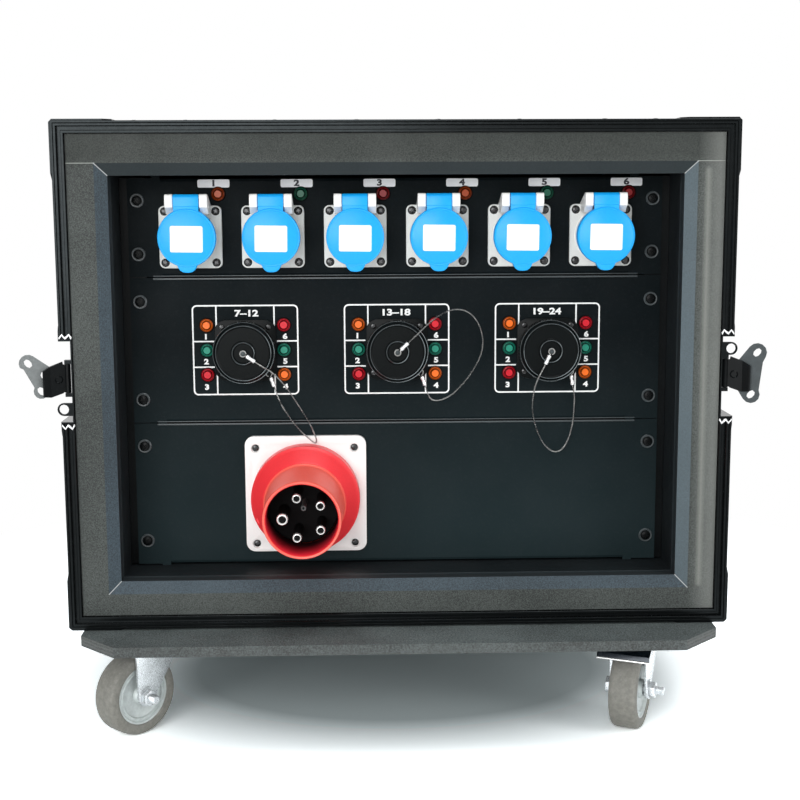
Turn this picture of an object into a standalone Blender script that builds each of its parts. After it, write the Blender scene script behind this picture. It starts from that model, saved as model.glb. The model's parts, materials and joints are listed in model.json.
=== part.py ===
# Power distribution box: a rack with sockets in a flight case on a board with casters
import math

import bmesh
import bpy
from mathutils import Matrix, Vector

for old in list(bpy.data.objects):
    bpy.data.objects.remove(old, do_unlink=True)

# Sizes in metres, front towards -Y
GAP = 0.0003

# Case
CASE_DEPTH = 0.450
RACK_UNIT = 0.04445
INLET_UNITS = 3
MULTIPIN_UNITS = 3
OUTLET_UNITS = 2
OPENING_WIDTH = 0.4958
OPENING_PLAY = 0.0012
BEVEL = 0.0105
BEVEL_DEPTH = 0.005
FACE_SIDE = 0.0239
FACE_TOP = 0.0249
FACE_BOTTOM = 0.0198
FACE_DEPTH = 0.015
TRACK = 0.0105
SKIN = 0.0015
SKIRT = 0.030
WEB = 0.0013
PLY = TRACK - SKIN
BRACE = 0.0014
BRACE_LEG = 0.052
TRIM_EDGE = 0.030
SLEEVE = 0.009
SLEEVE_STEP = 0.0008

# Wheel board and casters
CASTER_HEIGHT = 0.100
BOARD = 0.009
BOARD_WIDTH = 0.562
BOARD_OVERHANG = 0.052
BOARD_CHAMFER = 0.034
CASTER_SIDE_INSET = 0.055
CASTER_INSET = 0.054
CASTER_TRAIL = 0.027
CASTER_ANGLES = (("front_left", -1, -1, 42.7), ("front_right", 1, -1, 24.2),
                 ("rear_left", -1, 1, 36.0), ("rear_right", 1, 1, 33.0))
WHEEL_RADIUS = 0.0375
WHEEL_WIDTH = 0.026
AXLE_RADIUS = 0.004
AXLE_PLAY = 0.0013
FORK_SHEET = 0.0025
FORK_SIDE_PLAY = 0.002
CROWN_RADIUS = 0.025
KINGPIN_RADIUS = 0.005
CASTER_PLATE = (0.068, 0.080, 0.0025)
RACE_RADII = (0.022, 0.019)
RACE_HEIGHT = 0.0085
KINGPIN_NUT = (0.0085, 0.0050)

# Rack
SETBACK = 0.062
PANEL_SIDE_PLAY = 0.0066
PANEL_SHEET = 0.002
PANEL_FOLD = 0.015
PANEL_EAR = 0.0233
PANEL_PLAY = 0.0004
RAIL_MARGIN = 0.00145
RAIL_SHEET = 0.002
RACK_HOLE = 0.0094
RACK_HOLE_INSET = 0.00875
RACK_HOLE_END = 0.0206
LAMP_RADIUS = 0.006
LAMP_RISE = 0.0031
LAMP_ROOT = 0.0008
DEVICE_DEPTH = 0.030

# Sockets
SOCKET_END = 0.0563
SOCKET_LAMP = (0.0252, 0.0146)
SOCKET_DROP = 0.00825
SOCKET_FLANGE = 0.0572
SOCKET_SHEET = 0.0043
BARREL_RADIUS = 0.0228
BARREL_WALL = 0.0033
BARREL_HEIGHT = 0.0305
WELL_DEPTH = 0.016
LID_WALL = 0.0021
LID_PLAY = 0.0008
LID_LIFT = 0.0017
LID_SHEET = 0.0022
LID_DEPTH = 0.0082
HINGE_STEP = 0.007
HINGE_SINK = 0.0025
KNUCKLE = 0.0223
EAR_WIDTH = 0.0073
PIN_RADIUS = 0.0015

# Multipin receptacles
GROUP_END = 0.1033
GROUP_HOLE = 0.0212
GROUP_LAMP_STEP = 0.007
GROUP_LAMP_RISES = (0.0230, 0.0002, -0.0224)
RECEPTACLE_FLANGE = 0.056
RECEPTACLE_SHEET = 0.0028
NECK_RADIUS = 0.0222
NECK_HEIGHT = 0.0215
CAP_WALL = 0.0050
CAP_PLAY = 0.0007
CAP_BACK = 0.0125
CAP_LIFT = 0.0040
CAP_SHEET = 0.0025
POST_RADIUS = 0.0019
ANCHOR = 0.0212
WIRE_RADIUS = 0.00075
FERRULE_RADIUS = 0.0019

# Inlet
INLET_END = 0.1561
INLET_DROP = 0.0011
INLET_FLANGE = (0.1132, 0.1105)
INLET_SHEET = 0.0053
INLET_BODY = 0.039
DISC_RADIUS = 0.0488
DISC_FACE = 0.020
SHROUD_BORE = 0.0307
SHROUD_FOOT = (SHROUD_BORE + 0.0043, 0.037)
SHROUD_RIM = (SHROUD_BORE + 0.0023, 0.1012)
CARRIER_FACE = 0.058
PIN_TIP = 0.097
PIN_CIRCLE = 0.0177

# Latches
LATCH_DROP = 0.1750
LATCH_GAP = 0.0735
LATCH_FLANGE = 0.099
LATCH_REACH = 0.100
PAN_DEPTH = TRACK
PAN_REACH = 0.060
PAN_SHEET = 0.0012
ARM_HINGE = (0.0050, 0.0040)
ARM_RISE = 0.0016
ARM_SHEET = 0.002
ARM_LENGTH = 0.0147
ARM_LIP = 0.0071
ARM_SWING = 20.0
LIP_TURN = 30.0
ARM_KNUCKLE = 0.0027
KNUCKLE_HALF = 0.0125
KNUCKLE_RISE = 0.0009
LUG = 0.0033
LUG_REACH = 0.0026
WING_PIVOT = 0.0078
WING_SHEET = 0.0015
EYE_OUTER = 0.0057
EYE_HOLE = 0.0043

# Handles
HANDLE_Y = 0.035
HANDLE_FLANGE = (0.170, 0.105)
HANDLE_PAN = (0.146, 0.082)
HANDLE_DEPTH = 0.0160
HANDLE_WALL = 0.0040
BAIL_RADIUS = 0.0035
BAIL_DROP = 0.050

# Places that follow from the sizes
FRONT = -CASE_DEPTH / 2
BACK = CASE_DEPTH / 2
PANEL_WIDTH = OPENING_WIDTH - 2 * PANEL_SIDE_PLAY
PANEL_MIDDLE = PANEL_WIDTH / 2 - PANEL_EAR
RACK_HOLE_X = PANEL_WIDTH / 2 - RACK_HOLE_INSET
SOCKET_PITCH = (PANEL_WIDTH - 2 * SOCKET_END) / 5
GROUP_PITCH = PANEL_WIDTH / 2 - GROUP_END
INLET_X = INLET_END - PANEL_WIDTH / 2
CASTER_X = BOARD_WIDTH / 2 - CASTER_SIDE_INSET
WELL_FLOOR = BARREL_HEIGHT - WELL_DEPTH
LID_RADIUS = BARREL_RADIUS + LID_PLAY + LID_WALL
LID_FACE = BARREL_HEIGHT + LID_LIFT + LID_SHEET
LID_RIM = LID_FACE - LID_DEPTH
HINGE_RISE = LID_RADIUS + HINGE_STEP
HINGE_OUT = BARREL_HEIGHT - HINGE_SINK
CAP_BORE = NECK_RADIUS + CAP_PLAY
CAP_RADIUS = CAP_BORE + CAP_WALL
CAP_FACE = NECK_HEIGHT + CAP_LIFT + CAP_SHEET
GROUP_LAMP_SIDE = RECEPTACLE_FLANGE / 2 + GROUP_LAMP_STEP
STACK = RACK_UNIT * (INLET_UNITS + MULTIPIN_UNITS + OUTLET_UNITS)
CASE_LOW = CASTER_HEIGHT + BOARD + GAP + BRACE
OPENING_LOW = CASE_LOW + TRACK + FACE_BOTTOM + BEVEL
OPENING_HIGH = OPENING_LOW + STACK + OPENING_PLAY
CASE_HIGH = OPENING_HIGH + BEVEL + FACE_TOP + TRACK
CASE_MIDDLE = (CASE_LOW + CASE_HIGH) / 2
HALF = OPENING_WIDTH / 2 + BEVEL + FACE_SIDE + TRACK
PLY_OUT = SKIN + GAP
PLY_IN = PLY_OUT + PLY
FACE_OUT = PLY_IN + GAP
STACK_TOP = OPENING_LOW + STACK
PANEL_Y = FRONT + SETBACK
INLET_LOW = OPENING_LOW
MULTIPIN_LOW = INLET_LOW + INLET_UNITS * RACK_UNIT
OUTLET_LOW = MULTIPIN_LOW + MULTIPIN_UNITS * RACK_UNIT
SOCKET_Z = OUTLET_LOW + OUTLET_UNITS * RACK_UNIT / 2 - SOCKET_DROP
GROUP_Z = MULTIPIN_LOW + MULTIPIN_UNITS * RACK_UNIT / 2
INLET_Z = INLET_LOW + INLET_UNITS * RACK_UNIT / 2 - INLET_DROP
LATCH_Z = STACK_TOP - LATCH_DROP
HANDLE_Z = CASE_MIDDLE
SOCKET_XS = [(i - 2.5) * SOCKET_PITCH for i in range(6)]
GROUP_XS = [(i - 1) * GROUP_PITCH for i in range(3)]

scene = bpy.context.scene
PARTS = bpy.data.collections.new("power_distribution_box")
CUTTERS = bpy.data.collections.new("cutters")
scene.collection.children.link(PARTS)
scene.collection.children.link(CUTTERS)

UPRIGHT = Matrix.Rotation(math.pi / 2, 4, "X")
SIDEWAYS = Matrix(((0, 0, 1, 0), (1, 0, 0, 0), (0, 1, 0, 0), (0, 0, 0, 1)))


def material(name, colour, metallic, roughness):
    made = bpy.data.materials.new(name)
    made.use_nodes = True
    shader = made.node_tree.nodes["Principled BSDF"]
    shader.inputs["Base Color"].default_value = (*colour, 1.0)
    shader.inputs["Metallic"].default_value = metallic
    shader.inputs["Roughness"].default_value = roughness
    made.diffuse_color = (*colour, 1.0)
    return made


LAMINATE = material("laminate", (0.045, 0.050, 0.050), 0.0, 0.65)
ALUMINIUM = material("black_aluminium", (0.030, 0.036, 0.042), 0.9, 0.35)
PANEL = material("black_panel", (0.012, 0.014, 0.016), 0.3, 0.45)
ZINC = material("zinc_steel", (0.66, 0.68, 0.70), 1.0, 0.30)
WHITE = material("white_plastic", (0.82, 0.82, 0.80), 0.0, 0.35)
BLUE = material("blue_plastic", (0.02, 0.33, 0.80), 0.0, 0.30)
RED = material("red_plastic", (0.80, 0.035, 0.025), 0.0, 0.35)
BLACK = material("black_plastic", (0.014, 0.015, 0.016), 0.0, 0.40)
STEEL = material("wire_steel", (0.60, 0.61, 0.62), 1.0, 0.30)
DARK = material("dark_steel", (0.05, 0.055, 0.06), 0.8, 0.40)
TYRE = material("grey_rubber", (0.23, 0.23, 0.21), 0.0, 0.70)


def mesh_object(name, bm, slot=None, parent=None, facing=None, location=None):
    if facing is None:
        bmesh.ops.recalc_face_normals(bm, faces=bm.faces)
        if bm.calc_volume(signed=True) < 0:
            bmesh.ops.reverse_faces(bm, faces=bm.faces)
    else:
        bm.normal_update()
        bm.faces.ensure_lookup_table()
        if bm.faces[0].normal.dot(Vector(facing)) < 0:
            bmesh.ops.reverse_faces(bm, faces=bm.faces)
    data = bpy.data.meshes.new(name)
    bm.to_mesh(data)
    bm.free()
    made = bpy.data.objects.new(name, data)
    if slot is None:
        CUTTERS.objects.link(made)
        made.hide_render = True
        made.display_type = "WIRE"
    else:
        data.materials.append(slot)
        PARTS.objects.link(made)
    if parent is not None:
        made.parent = parent
    if location is not None:
        made.location = location
    return made


def boxes(name, extents, slot=None, parent=None):
    bm = bmesh.new()
    for low, high in extents:
        low = Vector(low)
        high = Vector(high)
        size = high - low
        place = Matrix.Translation((low + high) / 2) @ Matrix.Diagonal((*size, 1.0))
        bmesh.ops.create_cube(bm, size=1.0, matrix=place)
    return mesh_object(name, bm, slot, parent)


def box(name, low, high, slot=None, parent=None):
    return boxes(name, [(low, high)], slot, parent)


def circle(x, y, radius, count, start=0.0):
    turns = [math.radians(start) + 2 * math.pi * i / count for i in range(count)]
    return [(x + radius * math.cos(t), y + radius * math.sin(t)) for t in turns]


def arc(x, y, radius, begin, end, count):
    turns = [math.radians(begin + (end - begin) * i / count) for i in range(count + 1)]
    return [(x + radius * math.cos(t), y + radius * math.sin(t)) for t in turns]


def rounded(width, height, radius, count, x=0.0, y=0.0):
    across = width / 2 - radius
    up = height / 2 - radius
    corners = ((across, up, 0), (-across, up, 90), (-across, -up, 180), (across, -up, 270))
    points = []
    for dx, dy, begin in corners:
        points += arc(x + dx, y + dy, radius, begin, begin + 90, count)
    return points


def plate(name, outlines, low, high, slot=None, parent=None, lay=None):
    curve = bpy.data.curves.new(name, "CURVE")
    curve.dimensions = "2D"
    curve.fill_mode = "BOTH"
    curve.extrude = (high - low) / 2
    for outline in outlines:
        spline = curve.splines.new("POLY")
        spline.points.add(len(outline) - 1)
        for point, (x, y) in zip(spline.points, outline):
            point.co = (x, y, 0.0, 1.0)
        spline.use_cyclic_u = True
    drawn = bpy.data.objects.new(name + "_outline", curve)
    scene.collection.objects.link(drawn)
    graph = bpy.context.evaluated_depsgraph_get()
    data = bpy.data.meshes.new_from_object(drawn.evaluated_get(graph))
    bm = bmesh.new()
    bm.from_mesh(data)
    bpy.data.objects.remove(drawn, do_unlink=True)
    bpy.data.curves.remove(curve)
    bpy.data.meshes.remove(data)
    bmesh.ops.remove_doubles(bm, verts=bm.verts, dist=0.00001)
    bmesh.ops.translate(bm, vec=(0, 0, (low + high) / 2), verts=bm.verts)
    if lay is not None:
        bm.transform(lay)
    return mesh_object(name, bm, slot, parent)


def turned(name, profile, steps, slot=None, parent=None, closed=False, lay=None):
    bm = bmesh.new()
    points = [bm.verts.new((radius, 0.0, z)) for radius, z in profile]
    for first, second in zip(points, points[1:]):
        bm.edges.new((first, second))
    if closed:
        bm.edges.new((points[-1], points[0]))
    made = mesh_object(name, bm, slot, parent)
    turn = made.modifiers.new("turn", "SCREW")
    turn.axis = "Z"
    turn.steps = steps
    turn.render_steps = steps
    turn.use_merge_vertices = True
    turn.merge_threshold = 0.00002
    turn.use_smooth_shade = True
    if lay is not None:
        made.matrix_basis = lay
    return made


def scattered(name, source, places, slot=None, parent=None):
    graph = bpy.context.evaluated_depsgraph_get()
    data = bpy.data.meshes.new_from_object(source.evaluated_get(graph))
    bpy.data.objects.remove(source, do_unlink=True)
    bm = bmesh.new()
    for place in places:
        copy = data.copy()
        copy.transform(place)
        bm.from_mesh(copy)
        bpy.data.meshes.remove(copy)
    bpy.data.meshes.remove(data)
    return mesh_object(name, bm, slot, parent)


def tube(name, points, radius, slot, factors=None, resolution=2):
    curve = bpy.data.curves.new(name, "CURVE")
    curve.dimensions = "3D"
    curve.bevel_depth = radius
    curve.bevel_resolution = resolution
    curve.use_fill_caps = True
    curve.materials.append(slot)
    spline = curve.splines.new("POLY")
    spline.points.add(len(points) - 1)
    for number, (point, place) in enumerate(zip(spline.points, points)):
        point.co = (*place, 1.0)
        if factors is not None:
            point.radius = factors[number]
    spline.use_smooth = True
    made = bpy.data.objects.new(name, curve)
    PARTS.objects.link(made)
    return made


def ring(name, loops, slot=None):
    bm = bmesh.new()
    rows = []
    for half, low, high, y in loops:
        corners = ((-half, low), (half, low), (half, high), (-half, high))
        rows.append([bm.verts.new((x, y, z)) for x, z in corners])
    for first, second in zip(rows, rows[1:] + rows[:1]):
        for i in range(4):
            j = (i + 1) % 4
            bm.faces.new((first[i], first[j], second[j], second[i]))
    return mesh_object(name, bm, slot)


def combine(target, tool, operation="DIFFERENCE"):
    step = target.modifiers.new(tool.name, "BOOLEAN")
    step.operation = operation
    step.solver = "EXACT"
    step.object = tool


def rounded_off(target, width, segments, limit=40.0):
    step = target.modifiers.new("round", "BEVEL")
    step.width = width
    step.segments = segments
    step.limit_method = "ANGLE"
    step.angle_limit = math.radians(limit)


def thickened(target, thickness):
    step = target.modifiers.new("sheet", "SOLIDIFY")
    step.thickness = thickness
    step.offset = -1.0
    step.use_even_offset = True


# Case panels
PLY_FRONT = FRONT + WEB + GAP
SIDE_LOW = CASE_LOW + PLY_IN + GAP
SIDE_HIGH = CASE_HIGH - PLY_IN - GAP
box("case_top", (-HALF + PLY_OUT, PLY_FRONT, CASE_HIGH - PLY_IN),
    (HALF - PLY_OUT, BACK - PLY_OUT, CASE_HIGH - PLY_OUT), LAMINATE)
box("case_bottom", (-HALF + PLY_OUT, PLY_FRONT, CASE_LOW + PLY_OUT),
    (HALF - PLY_OUT, BACK - PLY_OUT, CASE_LOW + PLY_IN), LAMINATE)
box("case_back", (-HALF + FACE_OUT, BACK - PLY_IN, SIDE_LOW),
    (HALF - FACE_OUT, BACK - PLY_OUT, SIDE_HIGH), LAMINATE)
PAN_PLAY = 2 * GAP
for side, name in ((-1, "left"), (1, "right")):
    inner = side * (HALF - PLY_IN)
    outer = side * (HALF - PLY_OUT)
    wall = box("case_" + name, (min(inner, outer), PLY_FRONT, SIDE_LOW),
               (max(inner, outer), BACK - PLY_OUT, SIDE_HIGH), LAMINATE)
    latch_half = (LATCH_GAP - 2 * GAP) / 2 + PAN_PLAY
    handle_half = (HANDLE_PAN[0] / 2 + PAN_PLAY, HANDLE_PAN[1] / 2 + PAN_PLAY)
    low = side * (HALF - 0.02)
    high = side * (HALF + 0.01)
    cuts = boxes("wall_cuts_" + name, [
        ((min(low, high), FRONT - 0.01, LATCH_Z - latch_half),
         (max(low, high), FRONT + PAN_REACH + PAN_PLAY, LATCH_Z + latch_half)),
        ((min(low, high), HANDLE_Y - handle_half[0], HANDLE_Z - handle_half[1]),
         (max(low, high), HANDLE_Y + handle_half[0], HANDLE_Z + handle_half[1]))])
    combine(wall, cuts)

# Front face with its bevelled opening, and the sleeve behind it
OPENING_HALF = OPENING_WIDTH / 2
ring("face_frame", [
    (HALF - FACE_OUT, CASE_LOW + FACE_OUT, CASE_HIGH - FACE_OUT, FRONT),
    (HALF - FACE_OUT, CASE_LOW + FACE_OUT, CASE_HIGH - FACE_OUT, FRONT + FACE_DEPTH),
    (OPENING_HALF, OPENING_LOW, OPENING_HIGH, FRONT + FACE_DEPTH),
    (OPENING_HALF, OPENING_LOW, OPENING_HIGH, FRONT + BEVEL_DEPTH),
    (OPENING_HALF + BEVEL, OPENING_LOW - BEVEL, OPENING_HIGH + BEVEL, FRONT)], LAMINATE)
SLEEVE_IN = (OPENING_HALF + SLEEVE_STEP, OPENING_LOW - SLEEVE_STEP, OPENING_HIGH + SLEEVE_STEP)
SLEEVE_OUT = (SLEEVE_IN[0] + SLEEVE, SLEEVE_IN[1] - SLEEVE, SLEEVE_IN[2] + SLEEVE)
SLEEVE_FRONT = FRONT + FACE_DEPTH + GAP
SLEEVE_BACK = BACK - PLY_IN - GAP
ring("inner_sleeve", [(*SLEEVE_IN, SLEEVE_FRONT), (*SLEEVE_OUT, SLEEVE_FRONT),
                      (*SLEEVE_OUT, SLEEVE_BACK), (*SLEEVE_IN, SLEEVE_BACK)], LAMINATE)


# Lid track: one mitred section round the front edge, open at the latches
TRACK_SECTION = (
    (0.0000, SKIRT), (0.0000, -0.0039), (0.0003, -0.0042), (0.0017, -0.0042), (0.0021, -0.0037),
    (0.0025, -0.0042), (0.0042, -0.0042), (0.0046, -0.0036), (0.0049, 0.0000), (0.0077, 0.0000),
    (0.0080, -0.0026), (0.0084, -0.0030), (TRACK - 0.0003, -0.0030), (TRACK, -0.0026),
    (TRACK, WEB), (SKIN, WEB), (SKIN, SKIRT))


def brace_sheet(name, upward):
    edge = CASE_HIGH + BRACE if upward else CASE_LOW - BRACE
    step = -BRACE_LEG if upward else BRACE_LEG
    outer = HALF + BRACE
    begin = FRONT - 0.0036
    end = FRONT + SKIRT - 0.0006
    bm = bmesh.new()
    path = ((outer - BRACE_LEG, edge), (outer, edge), (outer, edge + step))
    rows = [[bm.verts.new((x, y, z)) for y in (begin, end)] for x, z in path]
    bm.faces.new((rows[0][0], rows[0][1], rows[1][1], rows[1][0]))
    bm.faces.new((rows[1][0], rows[1][1], rows[2][1], rows[2][0]))
    ends = [rows[0][0], rows[0][1], rows[2][0], rows[2][1]]
    bmesh.ops.bevel(bm, geom=ends, offset=0.007, segments=1, affect="VERTICES")
    made = mesh_object(name, bm, facing=(0, 0, 1 if upward else -1))
    rounded_off(made, 0.0026, 1)
    thickened(made, BRACE + SKIN / 2)
    made.modifiers.new("other_side", "MIRROR").use_axis = (True, False, False)
    return made


TRACK_LOOPS = [(HALF - s, CASE_LOW + s, CASE_HIGH - s, FRONT + d) for s, d in TRACK_SECTION]
GAP_HIGH = LATCH_Z + LATCH_GAP / 2
GAP_LOW = LATCH_Z - LATCH_GAP / 2
for name, low, high, upward in (("upper", CASE_LOW - 0.02, GAP_HIGH, True),
                                ("lower", GAP_LOW, CASE_HIGH + 0.02, False)):
    track = ring("lid_track_" + name, TRACK_LOOPS, ALUMINIUM)
    combine(track, box("track_end_" + name, (-HALF - 0.02, FRONT - 0.02, low),
                       (HALF + 0.02, FRONT + SKIRT + 0.02, high)))
    combine(track, brace_sheet("brace_" + name, upward), "UNION")

# Edge trim: angle along the four long edges and round the back, with corner braces
TRIM_FRONT = FRONT + SKIRT + GAP
trim = box("edge_trim", (-HALF, TRIM_FRONT, CASE_LOW), (HALF, BACK, CASE_HIGH), ALUMINIUM)
combine(trim, box("trim_inside", (-HALF + SKIN, FRONT, CASE_LOW + SKIN),
                  (HALF - SKIN, BACK - SKIN, CASE_HIGH - SKIN)))
WIDE = HALF + 0.02
combine(trim, box("trim_side_window", (-WIDE, FRONT, CASE_LOW + TRIM_EDGE),
                  (WIDE, BACK - TRIM_EDGE, CASE_HIGH - TRIM_EDGE)))
combine(trim, box("trim_top_window", (-HALF + TRIM_EDGE, FRONT, CASE_LOW - 0.02),
                  (HALF - TRIM_EDGE, BACK - TRIM_EDGE, CASE_HIGH + 0.02)))
combine(trim, box("trim_back_window", (-HALF + TRIM_EDGE, BACK - 0.02, CASE_LOW + TRIM_EDGE),
                  (HALF - TRIM_EDGE, BACK + 0.02, CASE_HIGH - TRIM_EDGE)))
bm = bmesh.new()
reach = (HALF + BRACE, BACK + BRACE, CASE_HIGH + BRACE - CASE_MIDDLE)
near = tuple(value - BRACE_LEG for value in reach)
tip = bm.verts.new(reach)
legs = [bm.verts.new([near[k] if k == axis else reach[k] for k in range(3)]) for axis in range(3)]
fans = [bm.verts.new([reach[k] if k == axis else near[k] for k in range(3)]) for axis in range(3)]
for axis in range(3):
    one, two = [k for k in range(3) if k != axis]
    bm.faces.new((tip, legs[one], fans[axis], legs[two]))
bmesh.ops.recalc_face_normals(bm, faces=bm.faces)
bmesh.ops.bevel(bm, geom=fans, offset=0.012, segments=1, affect="VERTICES")
bm.normal_update()
turn_round = sum(face.normal.dot(Vector((1, 1, 1))) for face in bm.faces) < 0
if turn_round:
    bmesh.ops.reverse_faces(bm, faces=bm.faces)
bm.faces.ensure_lookup_table()
corners = mesh_object("trim_corners", bm, facing=bm.faces[0].normal.copy(),
                      location=(0, 0, CASE_MIDDLE))
rounded_off(corners, 0.0026, 1)
thickened(corners, BRACE + SKIN / 2)
corners.modifiers.new("other_sides", "MIRROR").use_axis = (True, False, True)
combine(trim, corners, "UNION")


# Rack rails behind the panel ears
RAIL_Y = PANEL_Y + PANEL_SHEET + GAP
RAIL_LEG = SLEEVE_IN[0] - GAP - RACK_HOLE_X + RACK_HOLE / 2 + RAIL_MARGIN
for side, name in ((-1, "left"), (1, "right")):
    bm = bmesh.new()
    outer = side * (SLEEVE_IN[0] - GAP)
    path = ((outer - side * RAIL_LEG, RAIL_Y), (outer, RAIL_Y), (outer, RAIL_Y + RAIL_LEG))
    rows = [[bm.verts.new((x, y, z)) for z in (OPENING_LOW + 0.0005, STACK_TOP)] for x, y in path]
    bm.faces.new((rows[0][0], rows[0][1], rows[1][1], rows[1][0]))
    bm.faces.new((rows[1][0], rows[1][1], rows[2][1], rows[2][0]))
    rail = mesh_object("rack_rail_" + name, bm, DARK, facing=(0, -1, 0))
    thickened(rail, RAIL_SHEET)
    heights = []
    for low, units in ((INLET_LOW, INLET_UNITS), (MULTIPIN_LOW, MULTIPIN_UNITS),
                       (OUTLET_LOW, OUTLET_UNITS)):
        heights += [low + RACK_HOLE_END, low + units * RACK_UNIT - RACK_HOLE_END]
    across = side * RACK_HOLE_X
    combine(rail, boxes("rail_holes_" + name, [
        ((across - RACK_HOLE / 2, RAIL_Y - 0.01, z - RACK_HOLE / 2),
         (across + RACK_HOLE / 2, RAIL_Y + 0.01, z + RACK_HOLE / 2)) for z in heights]))


# Rack panels: folded sheet with cut-outs and indicator lamps
def rack_panel(name, low, units):
    bottom = low + PANEL_PLAY
    top = low + units * RACK_UNIT - PANEL_PLAY
    wide = PANEL_WIDTH / 2
    ear = PANEL_MIDDLE
    fold = PANEL_MIDDLE - 0.003
    cut = 0.004
    bm = bmesh.new()
    half = [(-wide, bottom), (-ear, bottom), (-ear, bottom + cut), (-fold, bottom + cut),
            (-fold, bottom), (fold, bottom), (fold, bottom + cut), (ear, bottom + cut),
            (ear, bottom), (wide, bottom)]
    outline = half + [(x, bottom + top - z) for x, z in reversed(half)]
    front = [bm.verts.new((x, PANEL_Y, z)) for x, z in outline]
    bm.faces.new(front)
    for first, second in ((front[4], front[5]), (front[14], front[15])):
        far = [bm.verts.new((v.co.x, PANEL_Y + PANEL_FOLD, v.co.z)) for v in (second, first)]
        bm.faces.new((second, first, far[1], far[0]))
    bmesh.ops.recalc_face_normals(bm, faces=bm.faces)
    bm.faces.ensure_lookup_table()
    made = mesh_object(name, bm, PANEL, facing=(0, -1, 0))
    rounded_off(made, 0.0030, 2)
    thickened(made, PANEL_SHEET)
    return made


def cut_out(panel, name, outlines, x, z):
    tool = plate(name, outlines, -0.008, 0.008, lay=Matrix.Translation((x, PANEL_Y, z)) @ UPRIGHT)
    combine(panel, tool)


def add_lamps(panel, name, places):
    source = turned(name + "_source", (
        (0.0, LAMP_RISE), (LAMP_RADIUS * 2 / 3, LAMP_RISE - 0.0007), (LAMP_RADIUS, -LAMP_ROOT),
        (0.0, -LAMP_ROOT)), 8)
    spots = [Matrix.Translation((x, PANEL_Y, z)) @ UPRIGHT for x, z in places]
    combine(panel, scattered(name, source, spots), "UNION")


outlet_panel = rack_panel("outlet_panel", OUTLET_LOW, OUTLET_UNITS)
cut_out(outlet_panel, "socket_holes",
        [circle(x, 0.0, BARREL_RADIUS + 0.0006, 16) for x in SOCKET_XS], 0.0, SOCKET_Z)
add_lamps(outlet_panel, "outlet_lamps",
          [(x + SOCKET_LAMP[0], STACK_TOP - SOCKET_LAMP[1]) for x in SOCKET_XS])

multipin_panel = rack_panel("multipin_panel", MULTIPIN_LOW, MULTIPIN_UNITS)
cut_out(multipin_panel, "receptacle_holes",
        [circle(x, 0.0, GROUP_HOLE, 16) for x in GROUP_XS], 0.0, GROUP_Z)
add_lamps(multipin_panel, "group_lamps", [
    (x + side * GROUP_LAMP_SIDE, GROUP_Z + rise) for x in GROUP_XS for side in (-1, 1)
    for rise in GROUP_LAMP_RISES])

inlet_panel = rack_panel("inlet_panel", INLET_LOW, INLET_UNITS)
cut_out(inlet_panel, "inlet_hole", [circle(INLET_X, 0.0, INLET_BODY + 0.0010, 24)], 0.0, INLET_Z)


# Sockets and their hinged lids
EAR_IN = KNUCKLE / 2 + GAP
EAR_BACK = HINGE_RISE + 0.0056
EAR_FRONT = HINGE_RISE - 0.0122
EAR_OUTLINE = ((EAR_FRONT, 0.0008), (EAR_FRONT, HINGE_OUT - 0.0040),
               (HINGE_RISE - 0.0084, HINGE_OUT - 0.0005), (HINGE_RISE - 0.0061, HINGE_OUT + 0.0046),
               (HINGE_RISE + 0.0028, HINGE_OUT + 0.0050), (EAR_BACK, HINGE_OUT + 0.0022),
               (EAR_BACK, 0.0008))
KNUCKLE_OUTLINE = ((-0.0120, 0.0046), (-0.0058, 0.0042), (-0.0046, -0.0024), (0.0000, -0.0052),
                   (0.0046, -0.0026), (0.0053, 0.0034), (0.0036, 0.0054), (-0.0040, 0.0060),
                   (-0.0120, 0.0060))
TAB_HALF = ((0.0085, LID_RADIUS - 0.0017), (0.0066, LID_RADIUS + 0.0019), (0.0026, LID_RADIUS + 0.0047))
TAB_OUTLINE = [(-x, -y) for x, y in TAB_HALF] + [(x, -y) for x, y in reversed(TAB_HALF)]
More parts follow.
